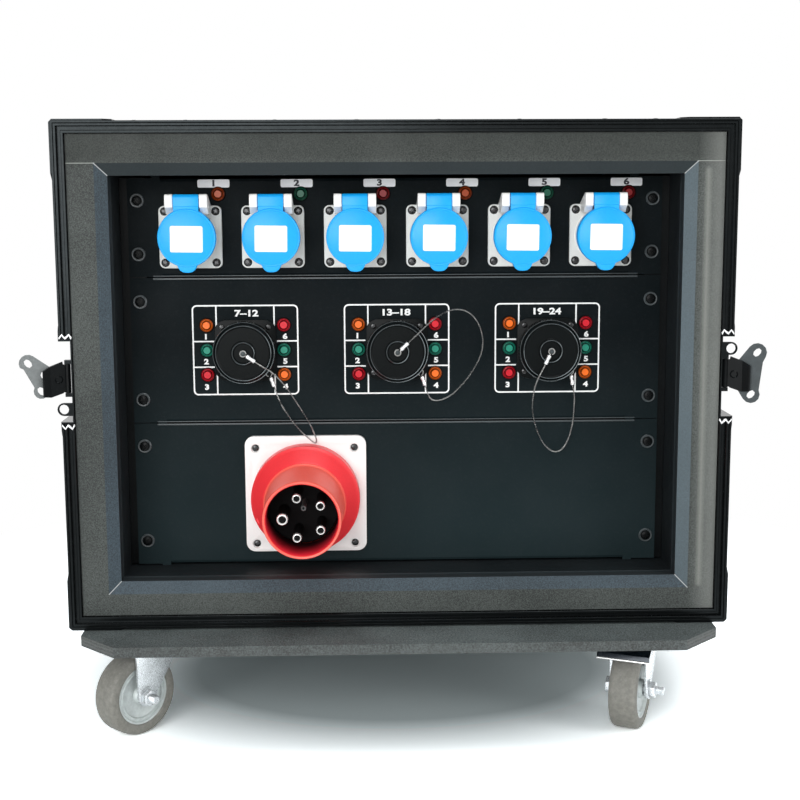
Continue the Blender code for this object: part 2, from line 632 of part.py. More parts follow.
for number, x in enumerate(SOCKET_XS, 1):
    body = plate(f"socket_{number}", [rounded(SOCKET_FLANGE, SOCKET_FLANGE - 0.0007, 0.005, 2)],
                 GAP, SOCKET_SHEET, WHITE)
    body.location = (x, PANEL_Y, SOCKET_Z)
    body.rotation_euler = (math.pi / 2, 0, 0)
    combine(body, turned(f"barrel_{number}", (
        (0.0, WELL_FLOOR), (BARREL_RADIUS - BARREL_WALL, WELL_FLOOR),
        (BARREL_RADIUS - BARREL_WALL, BARREL_HEIGHT), (BARREL_RADIUS, BARREL_HEIGHT),
        (BARREL_RADIUS - 0.0008, -DEVICE_DEPTH), (0.0, -DEVICE_DEPTH)), 14,
        parent=body), "UNION")
    for low, high in ((-EAR_IN - EAR_WIDTH, -EAR_IN), (EAR_IN, EAR_IN + EAR_WIDTH)):
        combine(body, plate(f"ear_{number}", [EAR_OUTLINE], low, high, parent=body, lay=SIDEWAYS),
                "UNION")
    bores = plate(f"hinge_bores_{number}", [circle(HINGE_RISE, HINGE_OUT, PIN_RADIUS + 0.0005, 6)],
                  -EAR_IN - 0.0033, EAR_IN + 0.0033, parent=body, lay=SIDEWAYS)
    combine(body, bores)
    contacts = plate(f"contact_bores_{number}", [circle(0.0095 * s, 0.0, 0.0027, 6) for s in (-1, 1)],
                     WELL_FLOOR - 0.008, WELL_FLOOR + 0.004, parent=body)
    combine(body, contacts)

    lid = plate(f"socket_lid_{number}", [KNUCKLE_OUTLINE], -KNUCKLE / 2, KNUCKLE / 2, BLUE,
                lay=SIDEWAYS)
    lid.location = (x, PANEL_Y - HINGE_OUT, SOCKET_Z + HINGE_RISE)
    lid.rotation_euler = (math.pi / 2, 0, 0)
    shift = Matrix.Translation((0, -HINGE_RISE, -HINGE_OUT))
    combine(lid, turned(f"lid_cup_{number}", (
        (0.0, LID_FACE), (LID_RADIUS - 0.0008, LID_FACE), (LID_RADIUS, LID_FACE - 0.0012),
        (LID_RADIUS, LID_RIM), (LID_RADIUS - LID_WALL, LID_RIM),
        (LID_RADIUS - LID_WALL, LID_FACE - LID_SHEET), (0.0, LID_FACE - LID_SHEET)), 16,
        parent=lid, lay=shift), "UNION")
    combine(lid, plate(f"lid_tab_{number}", [TAB_OUTLINE], LID_RIM + 0.0008, LID_FACE - 0.0006,
                       parent=lid, lay=shift), "UNION")
    combine(lid, plate(f"lid_pin_{number}", [circle(0.0, 0.0, PIN_RADIUS, 6)],
                       -EAR_IN - 0.0028, EAR_IN + 0.0028, parent=lid, lay=SIDEWAYS), "UNION")


# Multipin receptacles, their caps and the wire lanyards
EYE_OUT = CAP_FACE + 0.0034
EYE_IN = RECEPTACLE_SHEET + 0.0026
EYE_TURN = 0.0030
FERRULE_BEGIN = 0.0050
FERRULE_END = 0.0135
ROUTE_EYE = 0.0314
ROUTES = (
    ((16.2, 31.2, -11.1), (24.3, 30.2, -16.1), (30.0, 28.4, -21.6), (35.5, 26.0, -28.3),
     (41.4, 23.5, -37.1), (46.8, 21.2, -46.0), (52.1, 19.0, -55.0), (58.3, 16.5, -66.5),
     (61.6, 15.0, -74.5), (63.6, 13.6, -80.6), (63.4, 12.2, -83.8), (61.2, 11.0, -84.2),
     (56.6, 9.8, -80.6), (51.0, 9.0, -75.6), (43.2, 8.2, -66.8), (36.4, 7.2, -56.8),
     (31.2, 6.6, -48.2)),
    ((17.6, 31.4, 16.4), (24.4, 31.4, 23.0), (33.0, 31.0, 30.2), (44.1, 29.0, 36.4),
     (54.6, 26.8, 38.0), (63.6, 25.0, 35.2), (70.6, 22.8, 28.4), (75.4, 20.6, 18.6),
     (77.4, 18.0, 7.0), (75.8, 16.0, -3.6), (71.6, 14.2, -13.6), (65.4, 12.6, -23.8),
     (58.4, 11.2, -32.6), (51.0, 9.8, -40.2), (43.6, 8.4, -45.0), (36.0, 7.2, -47.0),
     (29.8, 6.3, -44.4)),
    ((-8.6, 31.3, -17.8), (-11.8, 30.6, -24.4), (-14.2, 28.6, -32.0), (-15.5, 25.2, -41.5),
     (-15.5, 20.8, -52.6), (-13.4, 16.8, -65.0), (-9.0, 13.2, -77.6), (-3.2, 10.6, -87.8),
     (3.4, 8.6, -94.2), (9.8, 7.2, -95.6), (15.4, 6.0, -92.2), (19.6, 5.2, -84.8),
     (22.5, 4.8, -75.7), (24.2, 4.7, -65.9), (24.9, 4.8, -54.6), (25.1, 5.0, -44.6)))


def eye(x, z, out, heading, clockwise):
    turn = -1 if clockwise else 1
    stops = [heading + turn * angle for angle in (30, 75, 120, 165, 210, 255, 300, 338)]
    bend = [(x + EYE_TURN * math.cos(math.radians(a)), out, z + EYE_TURN * math.sin(math.radians(a)))
            for a in stops]
    along = (math.cos(math.radians(heading)), math.sin(math.radians(heading)))
    marks = (FERRULE_BEGIN, FERRULE_BEGIN + 0.0002, FERRULE_END, FERRULE_END + 0.0002)
    path = bend + [(x + along[0] * s, out, z + along[1] * s) for s in marks]
    fat = FERRULE_RADIUS / WIRE_RADIUS
    return path, [1.0] * (len(bend) + 1) + [fat, fat, 1.0]


def least_gap(points, radius):
    spans = list(zip(points, points[1:]))
    worst = 1.0
    for i, (a, b) in enumerate(spans):
        for c, d in spans[i + 1:]:
            for s in (0.0, 0.5, 1.0):
                p = a.lerp(b, s)
                for t in (0.0, 0.5, 1.0):
                    q = c.lerp(d, t)
                    apart = (p - q).length
                    if apart > 0.0035 or (b - c).length > 0.004:
                        worst = min(worst, apart)
    return worst - 2 * radius


for number, (x, route) in enumerate(zip(GROUP_XS, ROUTES), 1):
    body = plate(f"receptacle_{number}", [rounded(RECEPTACLE_FLANGE, RECEPTACLE_FLANGE, 0.011, 2)],
                 GAP, RECEPTACLE_SHEET, BLACK)
    body.location = (x, PANEL_Y, GROUP_Z)
    body.rotation_euler = (math.pi / 2, 0, 0)
    combine(body, turned(f"neck_{number}", (
        (0.0, 0.009), (NECK_RADIUS - 0.0042, 0.009), (NECK_RADIUS - 0.0042, NECK_HEIGHT),
        (NECK_RADIUS, NECK_HEIGHT), (NECK_RADIUS, CAP_BACK - 0.0007),
        (NECK_RADIUS + 0.0023, CAP_BACK - 0.0007), (NECK_RADIUS + 0.0023, RECEPTACLE_SHEET / 2),
        (GROUP_HOLE - 0.0012, GAP), (GROUP_HOLE - 0.0012, -DEVICE_DEPTH), (0.0, -DEVICE_DEPTH)), 12,
        parent=body), "UNION")
    combine(body, plate(f"anchor_{number}", [circle(ANCHOR, -ANCHOR, POST_RADIUS, 6)],
                        RECEPTACLE_SHEET / 2, EYE_IN + 0.0014, parent=body), "UNION")
    cap = turned(f"cap_{number}", (
        (0.0, EYE_OUT + 0.0014), (POST_RADIUS, EYE_OUT + 0.0014), (POST_RADIUS, CAP_FACE - 0.0004),
        (0.0083, CAP_FACE - 0.0004), (0.0094, CAP_FACE + 0.0012), (0.0107, CAP_FACE),
        (CAP_RADIUS - 0.0011, CAP_FACE), (CAP_RADIUS, CAP_FACE - 0.0011),
        (CAP_RADIUS, CAP_BACK), (CAP_BORE, CAP_BACK), (CAP_BORE, CAP_FACE - CAP_SHEET),
        (0.0, CAP_FACE - CAP_SHEET)), 16, BLACK)
    cap.location = (x, PANEL_Y, GROUP_Z)
    cap.rotation_euler = (math.pi / 2, 0, 0)
    lift = EYE_OUT / ROUTE_EYE
    middle = [(px / 1000, out * lift / 1000, pz / 1000) for px, out, pz in route]
    first = math.degrees(math.atan2(middle[0][2], middle[0][0]))
    last = math.degrees(math.atan2(middle[-1][2] + ANCHOR, middle[-1][0] - ANCHOR))
    path, factors = eye(0.0, 0.0, EYE_OUT, first, False)
    other, other_factors = eye(ANCHOR, -ANCHOR, EYE_IN, last, True)
    path = path + middle + other[::-1]
    factors = factors + [1.0] * len(middle) + other_factors[::-1]
    points = [Vector((x + px, PANEL_Y - out, GROUP_Z + pz)) for px, out, pz in path]
    tube(f"lanyard_{number}", points, WIRE_RADIUS, STEEL, factors)
    length = sum((b - a).length for a, b in zip(points, points[1:]))
    print("lanyard", number, "length", round(length, 4), "points", len(points),
          "least gap", round(least_gap(points, WIRE_RADIUS), 5))

# Inlet: flange, shroud and the carrier with its pins
inlet_flange = plate("inlet_flange", [rounded(*INLET_FLANGE, 0.0075, 3),
                                      circle(0, 0, INLET_BODY + 0.0008, 24)], GAP, INLET_SHEET, WHITE)
shroud = turned("inlet_shroud", (
    (0.0, 0.0295), (SHROUD_BORE, 0.0295), (SHROUD_BORE, SHROUD_RIM[1] - 0.0012),
    (SHROUD_BORE + 0.0006, SHROUD_RIM[1]), (SHROUD_RIM[0] - 0.0005, SHROUD_RIM[1]),
    (SHROUD_RIM[0], SHROUD_RIM[1] - 0.0008), SHROUD_FOOT, (DISC_RADIUS - 0.0010, DISC_FACE),
    (DISC_RADIUS, DISC_FACE - 0.0012), (DISC_RADIUS, INLET_SHEET + GAP),
    (INLET_BODY, INLET_SHEET + GAP), (INLET_BODY, -0.025), (0.0, -0.025)), 24, RED)
carrier = turned("inlet_pins", (
    (0.0, CARRIER_FACE - 0.010), (0.002, CARRIER_FACE - 0.010), (0.002, CARRIER_FACE),
    (SHROUD_BORE - 0.0006, CARRIER_FACE), (SHROUD_BORE - 0.0006, 0.0298), (0.0, 0.0298)), 20, BLACK)
for made in (inlet_flange, shroud, carrier):
    made.location = (INLET_X, PANEL_Y, INLET_Z)
    made.rotation_euler = (math.pi / 2, 0, 0)


def contact_pins(name, radius, angles):
    source = turned(name + "_source", (
        (0.0, PIN_TIP), (radius - 0.0014, PIN_TIP), (radius, PIN_TIP - 0.0014),
        (radius, CARRIER_FACE - 0.002), (0.0, CARRIER_FACE - 0.002)), 8)
    spots = [Matrix.Rotation(math.radians(a), 4, "Z") @ Matrix.Translation((PIN_CIRCLE, 0, 0))
             for a in angles]
    return scattered(name, source, spots, parent=carrier)


combine(carrier, contact_pins("phase_pins", 0.004, (108, 36, -36, -108)), "UNION")
combine(carrier, contact_pins("earth_pin", 0.005, (183,)), "UNION")

# Wheel board with the fixed half of each caster
half = BOARD_WIDTH / 2
deep = CASE_DEPTH / 2 + BOARD_OVERHANG
side = half - BOARD_CHAMFER
end = deep - BOARD_CHAMFER
board = plate("wheel_board", [[(half, end), (side, deep), (-side, deep), (-half, end),
                               (-half, -end), (-side, -deep), (side, -deep), (half, -end)]],
              CASTER_HEIGHT, CASTER_HEIGHT + BOARD, LAMINATE)
CASTER_Y = CASE_DEPTH / 2 - CASTER_INSET
SPOTS = [(sx * CASTER_X, sy * CASTER_Y) for name, sx, sy, angle in CASTER_ANGLES]
PLATE_LOW = CASTER_HEIGHT - CASTER_PLATE[2]
CROWN_TOP = PLATE_LOW - RACE_HEIGHT
CROWN_LOW = CROWN_TOP - FORK_SHEET
combine(board, boxes("caster_plates", [
    ((x - CASTER_PLATE[0] / 2, y - CASTER_PLATE[1] / 2, PLATE_LOW),
     (x + CASTER_PLATE[0] / 2, y + CASTER_PLATE[1] / 2, CASTER_HEIGHT + BOARD / 2))
    for x, y in SPOTS]), "UNION")
kingpin = turned("kingpin", (
    (0.0, PLATE_LOW + 0.001), (RACE_RADII[0], PLATE_LOW + 0.001), (RACE_RADII[1], CROWN_TOP + GAP),
    (KINGPIN_RADIUS, CROWN_TOP + GAP), (KINGPIN_RADIUS, CROWN_LOW - GAP),
    (KINGPIN_NUT[0], CROWN_LOW - GAP), (KINGPIN_NUT[0], CROWN_LOW - KINGPIN_NUT[1]),
    (0.0, CROWN_LOW - KINGPIN_NUT[1])), 8)
combine(board, scattered("kingpins", kingpin, [Matrix.Translation((x, y, 0)) for x, y in SPOTS]),
        "UNION")

# Casters: swivelling fork, wheel on its axle, brake pedal
FORK_IN = WHEEL_WIDTH / 2 + FORK_SIDE_PLAY
FORK_OUT = FORK_IN + FORK_SHEET
PEDAL_PIVOT = (-0.0260, CROWN_LOW - 0.0060)
for name, sx, sy, angle in CASTER_ANGLES:
    braked = name in ("front_right", "rear_left")
    swivel = (sx * CASTER_X, sy * CASTER_Y, 0.0)
    heading = math.radians(-angle)
    end_radius = 0.009
    outline = [(0.014, CROWN_LOW - 0.0045), (0.014, CROWN_TOP), (-0.036, CROWN_TOP)]
    outline += arc(-CASTER_TRAIL, WHEEL_RADIUS, end_radius, 180, 325, 3)
    fork = plate("caster_fork_" + name, [outline], -FORK_OUT, FORK_OUT, ZINC, lay=SIDEWAYS)
    fork.location = swivel
    fork.rotation_euler = (0, 0, heading)
    combine(fork, box("fork_slot_" + name, (-FORK_IN, -0.060, 0.0), (FORK_IN, 0.030, CROWN_LOW),
                      parent=fork))
    combine(fork, turned("fork_crown_" + name, (
        (0.0, CROWN_TOP), (CROWN_RADIUS, CROWN_TOP), (CROWN_RADIUS, CROWN_LOW),
        (0.0, CROWN_LOW)), 12, parent=fork), "UNION")
    combine(fork, plate("fork_bore_" + name, [circle(0, 0, KINGPIN_RADIUS + 0.0008, 8)],
                        CROWN_LOW - 0.002, CROWN_TOP + 0.002, parent=fork))
    across = Matrix.Translation((0, -CASTER_TRAIL, WHEEL_RADIUS)) @ Matrix.Rotation(math.pi / 2, 4, "Y")
    combine(fork, turned("axle_" + name, (
        (0.0, FORK_OUT + 0.014), (0.0042, FORK_OUT + 0.014), (0.0042, FORK_OUT + 0.0065),
        (0.0078, FORK_OUT + 0.0065), (0.0078, FORK_OUT - 0.0005), (AXLE_RADIUS, FORK_OUT - 0.0020),
        (AXLE_RADIUS, -FORK_OUT + 0.0020), (0.0078, -FORK_OUT + 0.0005), (0.0078, -FORK_OUT - 0.005),
        (0.0, -FORK_OUT - 0.005)), 6, parent=fork, lay=across), "UNION")

    tread = WHEEL_WIDTH / 2
    face = ((AXLE_RADIUS + AXLE_PLAY, tread - 0.0010), (0.0255, tread - 0.0045), (0.0275, tread),
            (WHEEL_RADIUS - 0.003, tread), (WHEEL_RADIUS, tread - 0.003))
    wheel = turned("caster_wheel_" + name, face + tuple((r, -z) for r, z in reversed(face)), 18,
                   TYRE, closed=True)
    forward = (math.sin(math.radians(angle)), math.cos(math.radians(angle)))
    wheel.location = (swivel[0] - CASTER_TRAIL * forward[0], swivel[1] - CASTER_TRAIL * forward[1],
                      WHEEL_RADIUS)
    wheel.rotation_euler = (0, math.pi / 2, heading)

    if not braked:
        continue
    combine(fork, plate("pedal_bore_" + name, [circle(*PEDAL_PIVOT, 0.0020, 8)],
                        -FORK_OUT - 0.01, FORK_OUT + 0.01, parent=fork, lay=SIDEWAYS))
    py, pz = PEDAL_PIVOT
    cheek = ((-0.0020, -0.0022), (0.0016, -0.0026), (0.0034, 0.0000), (0.0022, 0.0028),
             (-0.0060, 0.0056), (-0.0180, 0.0058), (-0.0240, 0.0018), (-0.0180, -0.0010))
    cheek_in = FORK_OUT + GAP
    pedal = plate("brake_pedal_" + name, [cheek], cheek_in, cheek_in + 0.002, DARK, lay=SIDEWAYS)
    pedal.location = (swivel[0] + py * forward[0], swivel[1] + py * forward[1], pz)
    pedal.rotation_euler = (0, 0, heading)
    combine(pedal, plate("pedal_cheek_" + name, [cheek], -cheek_in - 0.002, -cheek_in, parent=pedal,
                         lay=SIDEWAYS), "UNION")
    bm = bmesh.new()
    shape = ((-0.0110, 0.0062), (-0.0240, 0.0034), (-0.0330, -0.0020), (-0.0345, -0.0060))
    rows = [[bm.verts.new((x, y, z)) for x in (-0.024, 0.024)] for y, z in shape]
    for first, second in zip(rows, rows[1:]):
        bm.faces.new((first[0], first[1], second[1], second[0]))
    tread_plate = mesh_object("pedal_plate_" + name, bm, parent=pedal, facing=(0, 0, 1))
    thickened(tread_plate, 0.0018)
    combine(pedal, tread_plate, "UNION")
    combine(pedal, plate("pedal_pin_left_" + name, [circle(0, 0, 0.0015, 8)],
                         -cheek_in - 0.001, -FORK_IN - 0.0004, parent=pedal, lay=SIDEWAYS), "UNION")
    combine(pedal, plate("pedal_pin_right_" + name, [circle(0, 0, 0.0015, 8)],
                         FORK_IN + 0.0004, cheek_in + 0.001, parent=pedal, lay=SIDEWAYS), "UNION")


# Side latches: dish with its hasp eye, hinged arm, turning wing
ROOT_LOBE = WING_PIVOT - ARM_KNUCKLE - GAP
WINGS = {
    "left": (-1, -0.0242, (0.0148, -0.0096, 0.0066), (0.0252, 0.0150, 0.0077), (0.0292, 0.0102)),
    "right": (1, 0.0247, (0.0146, -0.0177, 0.0077), (0.0191, 0.0195, 0.0082), (0.0241, 0.0110))}


def tangent_side(x, y, radius, turn):
    """direction of the line that touches the root lobe and this one"""
    apart = math.acos((ROOT_LOBE - radius) / math.hypot(x, y))
    return math.degrees(math.atan2(y, x) + turn * apart)


def wing_outline(low, high, waist):
    below = tangent_side(*low, -1) + 360
    above = tangent_side(*high, 1)
    points = arc(0.0, 0.0, ROOT_LOBE, above, below, 3)
    points += arc(*low, below, 390, 6)
    points.append(waist)
    return points + arc(*high, -26, above, 6)


def slot_hole(x, y, length, width, angle, count=3):
    points = arc(length / 2, 0, width / 2, -90, 90, count)
    points += arc(-length / 2, 0, width / 2, 90, 270, count)
    turn = math.radians(angle)
    return [(x + a * math.cos(turn) - b * math.sin(turn), y + a * math.sin(turn) + b * math.cos(turn))
            for a, b in points]


for name, (side, eye_rise, low_lobe, high_lobe, waist) in WINGS.items():
    pan_half = (LATCH_GAP - 2 * GAP) / 2

    def span(near_s, far_s):
        values = (side * (HALF - near_s), side * (HALF - far_s))
        return min(values), max(values)

    low, high = span(-GAP, -GAP - PAN_SHEET)
    dish = plate("latch_dish_" + name, [rounded(LATCH_REACH, LATCH_FLANGE, 0.006, 2,
                                                FRONT + LATCH_REACH / 2, LATCH_Z)],
                 low, high, ALUMINIUM, lay=SIDEWAYS)
    pan_front = FRONT - 0.0025
    low, high = span(PAN_DEPTH, -GAP - PAN_SHEET / 2)
    combine(dish, box("latch_pan_" + name, (low, pan_front, LATCH_Z - pan_half),
                      (high, FRONT + PAN_REACH, LATCH_Z + pan_half)), "UNION")
    low, high = span(PAN_DEPTH - PAN_SHEET, -0.01)
    combine(dish, box("latch_hollow_" + name, (low, pan_front - 0.01, LATCH_Z - pan_half + PAN_SHEET),
                      (high, FRONT + PAN_REACH - PAN_SHEET, LATCH_Z + pan_half - PAN_SHEET)))
    eye_x = side * (HALF - 0.0018)
    eye_z = LATCH_Z + eye_rise
    root = side * (HALF - PAN_DEPTH + PAN_SHEET / 2)
    bend = arc(eye_x, eye_z, EYE_OUTER, 90, 90 - side * 180, 8)
    loop = [(root, eye_z + EYE_OUTER)] + bend + [(root, eye_z - EYE_OUTER)]
    combine(dish, plate("hasp_eye_" + name, [loop, circle(eye_x, eye_z, EYE_HOLE, 12)],
                        -FRONT, -FRONT + 0.0020, lay=UPRIGHT), "UNION")
    arm_z = LATCH_Z + ARM_RISE
    hinge_x = side * (HALF - ARM_HINGE[0])
    hinge_y = FRONT + ARM_HINGE[1]
    top = KNUCKLE_RISE + KNUCKLE_HALF
    foot = KNUCKLE_RISE - KNUCKLE_HALF
    stub = LUG - 0.0011
    low, high = span(PAN_DEPTH - PAN_SHEET / 2, ARM_HINGE[0] - 0.0022)
    combine(dish, boxes("latch_lugs_" + name, [
        ((low, hinge_y - LUG_REACH, arm_z + z), (high, hinge_y + LUG_REACH, arm_z + z + LUG))
        for z in (top + GAP, foot - GAP - LUG)]), "UNION")
    combine(dish, plate("latch_bores_" + name, [circle(hinge_x, hinge_y, 0.0017, 8)],
                        arm_z + foot - stub - 2 * GAP, arm_z + top + stub + 2 * GAP))

    swing = math.radians(ARM_SWING)
    along = Vector((side * math.cos(swing), -math.sin(swing), 0.0))
    facing = Vector((-side * math.sin(swing), -math.cos(swing), 0.0))
    lip_turn = math.radians(ARM_SWING + LIP_TURN)
    lip = Vector((side * math.cos(lip_turn), -math.sin(lip_turn), 0.0))
    start = facing * (ARM_SHEET / 2) + along * 0.0008
    knee = facing * (ARM_SHEET / 2) + along * ARM_LENGTH
    rows = ((start, top - GAP, foot + GAP), (start + along * 0.0031, top - GAP, foot + GAP),
            (start + along * 0.0035, 0.0157, -0.0120), (knee, 0.0118, -0.0153),
            (knee + lip * ARM_LIP, 0.0081, -0.0143))
    bm = bmesh.new()
    columns = [[bm.verts.new(spot + Vector((0, 0, high))), bm.verts.new(spot + Vector((0, 0, low)))]
               for spot, high, low in rows]
    for first, second in zip(columns, columns[1:]):
        bm.faces.new((first[0], first[1], second[1], second[0]))
    arm = mesh_object("latch_arm_" + name, bm, DARK, facing=facing)
    arm.location = (hinge_x, hinge_y, arm_z)
    thickened(arm, ARM_SHEET)
    combine(arm, turned("arm_knuckle_" + name, (
        (0.0, top + stub), (0.0013, top + stub), (0.0013, top), (ARM_KNUCKLE, top),
        (ARM_KNUCKLE, foot), (0.0013, foot), (0.0013, foot - stub), (0.0, foot - stub)), 10,
        parent=arm), "UNION")
    wing_gap = ARM_SHEET / 2 + GAP
    across = side * along
    axis = Matrix((
        (across.x, 0.0, facing.x, 0.0), (across.y, 0.0, facing.y, 0.0),
        (0.0, 1.0, 0.0, 0.0), (0.0, 0.0, 0.0, 1.0)))
    combine(arm, turned("arm_rivet_" + name, (
        (0.0, 0.0022), (0.0026, 0.0022), (0.0042, 0.0006), (0.0029, -0.0006),
        (0.0029, -wing_gap - WING_SHEET - GAP), (ROOT_LOBE, -wing_gap - WING_SHEET - GAP),
        (ROOT_LOBE, -wing_gap - WING_SHEET - 0.0011), (0.0, -wing_gap - WING_SHEET - 0.0011)), 8,
        parent=arm, lay=Matrix.Translation(along * WING_PIVOT) @ axis), "UNION")

    outlines = [wing_outline(low_lobe, high_lobe, waist), circle(0, 0, 0.0034, 8)]
    outlines += [slot_hole(x, y, 0.0032, 0.0052, 50) for x, y, radius in (low_lobe, high_lobe)]
    if name == "left":
        outlines.append(circle(0.0116, 0.0045, 0.0036, 8))
    wing = plate("latch_wing_" + name, [[(side * x, y) for x, y in outline] for outline in outlines],
                 -wing_gap - WING_SHEET, -wing_gap, DARK)
    wing.matrix_basis = Matrix.Translation(arm.location + along * WING_PIVOT) @ axis

# Side handles: recessed dish and hanging bail
for side, name in ((-1, "left"), (1, "right")):
    def level(near_s, far_s):
        values = (side * (HALF - near_s), side * (HALF - far_s))
        return min(values), max(values)

    low, high = level(PLY_OUT - GAP, PLY_OUT - GAP - PAN_SHEET)
    dish = plate("handle_dish_" + name, [rounded(*HANDLE_FLANGE, 0.008, 2, HANDLE_Y, HANDLE_Z)],
                 low, high, ALUMINIUM, lay=SIDEWAYS)
    low, high = level(HANDLE_DEPTH, PLY_OUT - GAP - PAN_SHEET / 2)
    wide = HANDLE_PAN[0] / 2
    tall = HANDLE_PAN[1] / 2
    combine(dish, box("handle_pan_" + name, (low, HANDLE_Y - wide, HANDLE_Z - tall),
                      (high, HANDLE_Y + wide, HANDLE_Z + tall)), "UNION")
    low, high = level(HANDLE_DEPTH - PAN_SHEET, -0.01)
    hollow = (wide - HANDLE_WALL, tall - PAN_SHEET)
    combine(dish, box("handle_hollow_" + name, (low, HANDLE_Y - hollow[0], HANDLE_Z - hollow[1]),
                      (high, HANDLE_Y + hollow[0], HANDLE_Z + hollow[1])))
    bail_s = 0.0075
    bail_x = side * (HALF - bail_s)
    bail_z = HANDLE_Z + tall - 0.020
    stub = 0.0020
    combine(dish, plate("bail_bores_" + name, [circle(bail_x, -bail_z, stub + 0.0004, 10)],
                        HANDLE_Y - hollow[0] - 0.0030, HANDLE_Y + hollow[0] + 0.0030,
                        lay=Matrix.Rotation(-math.pi / 2, 4, "X")))
    end = hollow[0] + 0.0025
    leg = hollow[0] - 0.0065
    turn = 0.008
    path = [(-end, 0.0), (-hollow[0] + 0.0008, 0.0), (-hollow[0] + 0.0009, 0.0)]
    path += [(-leg - 0.0012, -0.0010), (-leg, -0.0050)]
    path += arc(-leg + turn, -BAIL_DROP + turn, turn, 180, 270, 3)
    path += [(-x, z) for x, z in reversed(path)]
    thin = stub / BAIL_RADIUS
    factors = [thin, thin] + [1.0] * (len(path) - 4) + [thin, thin]
    bail = tube("handle_bail_" + name, [(0.0, y, z) for y, z in path], BAIL_RADIUS, DARK, factors, 1)
    bail.location = (bail_x, HANDLE_Y, bail_z)
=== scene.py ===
# Looks of the power distribution box: camera, light, finishes and fine pieces
import json
import math

import bmesh
import bpy
from mathutils import Matrix, Vector


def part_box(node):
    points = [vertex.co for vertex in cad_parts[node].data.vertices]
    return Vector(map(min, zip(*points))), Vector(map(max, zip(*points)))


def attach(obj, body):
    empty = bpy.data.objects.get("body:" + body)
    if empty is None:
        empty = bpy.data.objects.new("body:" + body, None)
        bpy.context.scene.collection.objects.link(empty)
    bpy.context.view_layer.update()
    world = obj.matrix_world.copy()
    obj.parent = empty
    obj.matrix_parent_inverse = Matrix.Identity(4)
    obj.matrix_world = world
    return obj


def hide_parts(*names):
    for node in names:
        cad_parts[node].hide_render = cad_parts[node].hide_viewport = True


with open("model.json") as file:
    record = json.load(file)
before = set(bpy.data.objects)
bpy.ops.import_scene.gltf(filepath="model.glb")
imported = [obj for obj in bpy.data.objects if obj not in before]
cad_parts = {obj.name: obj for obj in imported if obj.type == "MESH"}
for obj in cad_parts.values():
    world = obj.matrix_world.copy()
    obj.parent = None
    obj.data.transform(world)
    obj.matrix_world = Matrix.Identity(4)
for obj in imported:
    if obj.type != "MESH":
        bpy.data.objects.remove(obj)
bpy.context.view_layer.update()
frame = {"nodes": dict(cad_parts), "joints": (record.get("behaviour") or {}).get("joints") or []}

# Lengths are in millimetres unless a comment says metres, and the tools below turn them into metres
MM = 0.001
TURN = 2 * math.pi
JOINTS = {joint["child"]: joint for joint in frame["joints"]}


def middle(node):
    low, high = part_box(node)
    return (low + high) / 2 / MM


def low_end(node, axis):
    return getattr(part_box(node)[0], axis) / MM


def high_end(node, axis):
    return getattr(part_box(node)[1], axis) / MM


# Places read from the frame
PANEL_Y = low_end("inlet_panel", "y")
FRONT_Y = low_end("face_frame", "y")
STACK_TOP = high_end("outlet_panel", "z") + 0.4
CASE_HALF = high_end("lid_track_upper", "x") - 1.4
CASE_TOP = high_end("case_top", "z")
CASE_BASE = low_end("case_bottom", "z")
TRACK_TOP = CASE_TOP + 1.8
OPENING_HALF = 247.9
OPENING_LOW = low_end("rack_rail_left", "z") - 0.5
OPENING_HIGH = STACK_TOP + 1.2
BEVEL = 10.5
BOARD_HIGH = high_end("wheel_board", "z")
BOARD_LOW = BOARD_HIGH - 9
SOCKETS = [(middle(f"socket_{i}").x, low_end(f"socket_{i}", "z") + 28.25) for i in range(1, 7)]
GROUPS = [(middle(f"cap_{i}").x, middle(f"cap_{i}").z) for i in range(1, 4)]
INLET = (middle("inlet_flange").x, middle("inlet_flange").z)
CASTERS = ("front_left", "front_right", "rear_left", "rear_right")
SIDES_OF_CASE = ((-1, "left"), (1, "right"))

# Camera: its place in metres, and its view through a picture of PICTURE pixels
EYE = (-0.0323, -1.4058, 0.4895)
YAW = math.radians(1.612)
PITCH = math.radians(8.477)
ROLL = math.radians(-0.268)
SENSOR = 36.0
FOCAL_PIXELS = 1364.7
PICTURE = 800

# Lights: place, aim and size in metres, and power in watts
LIGHTS = (("key_light", (-0.8, -2.4, 0.85), (0, 0, 0.3), (1.9, 1.4), 42),
          ("top_light", (0.3, -0.5, 2.3), (0, 0, 0.4), (1.6, 1.2), 22.5),
          ("fill_light", (1.5, -1.2, 0.7), (0.1, -0.1, 0.3), (0.8, 1.3), 12),
          ("back_light", (-0.6, 2.2, 1.6), (0, 0, 0.3), (1.6, 1.2), 12))
SOFT_LIGHT = 0.30
FLOOR_SIZE = 14.0
GLOW_FROM, GLOW_FULL = 0.42, 0.80


# Shader tools
def node(tree, kind, inputs=None, **settings):
    """a new node, with each input linked to a socket or set to a value"""
    made = tree.nodes.new(kind)
    for key, value in settings.items():
        setattr(made, key, value)
    for key, value in (inputs or {}).items():
        if isinstance(value, bpy.types.NodeSocket):
            tree.links.new(value, made.inputs[key])
        else:
            made.inputs[key].default_value = value
    return made


def grouped(tree, group, inputs):
    return node(tree, "ShaderNodeGroup", inputs, node_tree=group)


def maths(tree, operation, *values):
    return node(tree, "ShaderNodeMath", dict(enumerate(values)), operation=operation).outputs[0]


def length_of(tree, vector):
    return node(tree, "ShaderNodeVectorMath", {0: vector}, operation="LENGTH").outputs["Value"]


def object_place(tree, stretch=None, shift_by=None):
    """the place on the object, in metres"""
    spot = node(tree, "ShaderNodeTexCoord").outputs["Object"]
    inputs = {"Vector": spot, "Location": shift_by, "Scale": stretch}
    inputs = {key: value for key, value in inputs.items() if value is not None}
    return spot if len(inputs) == 1 else node(tree, "ShaderNodeMapping", inputs).outputs[0]


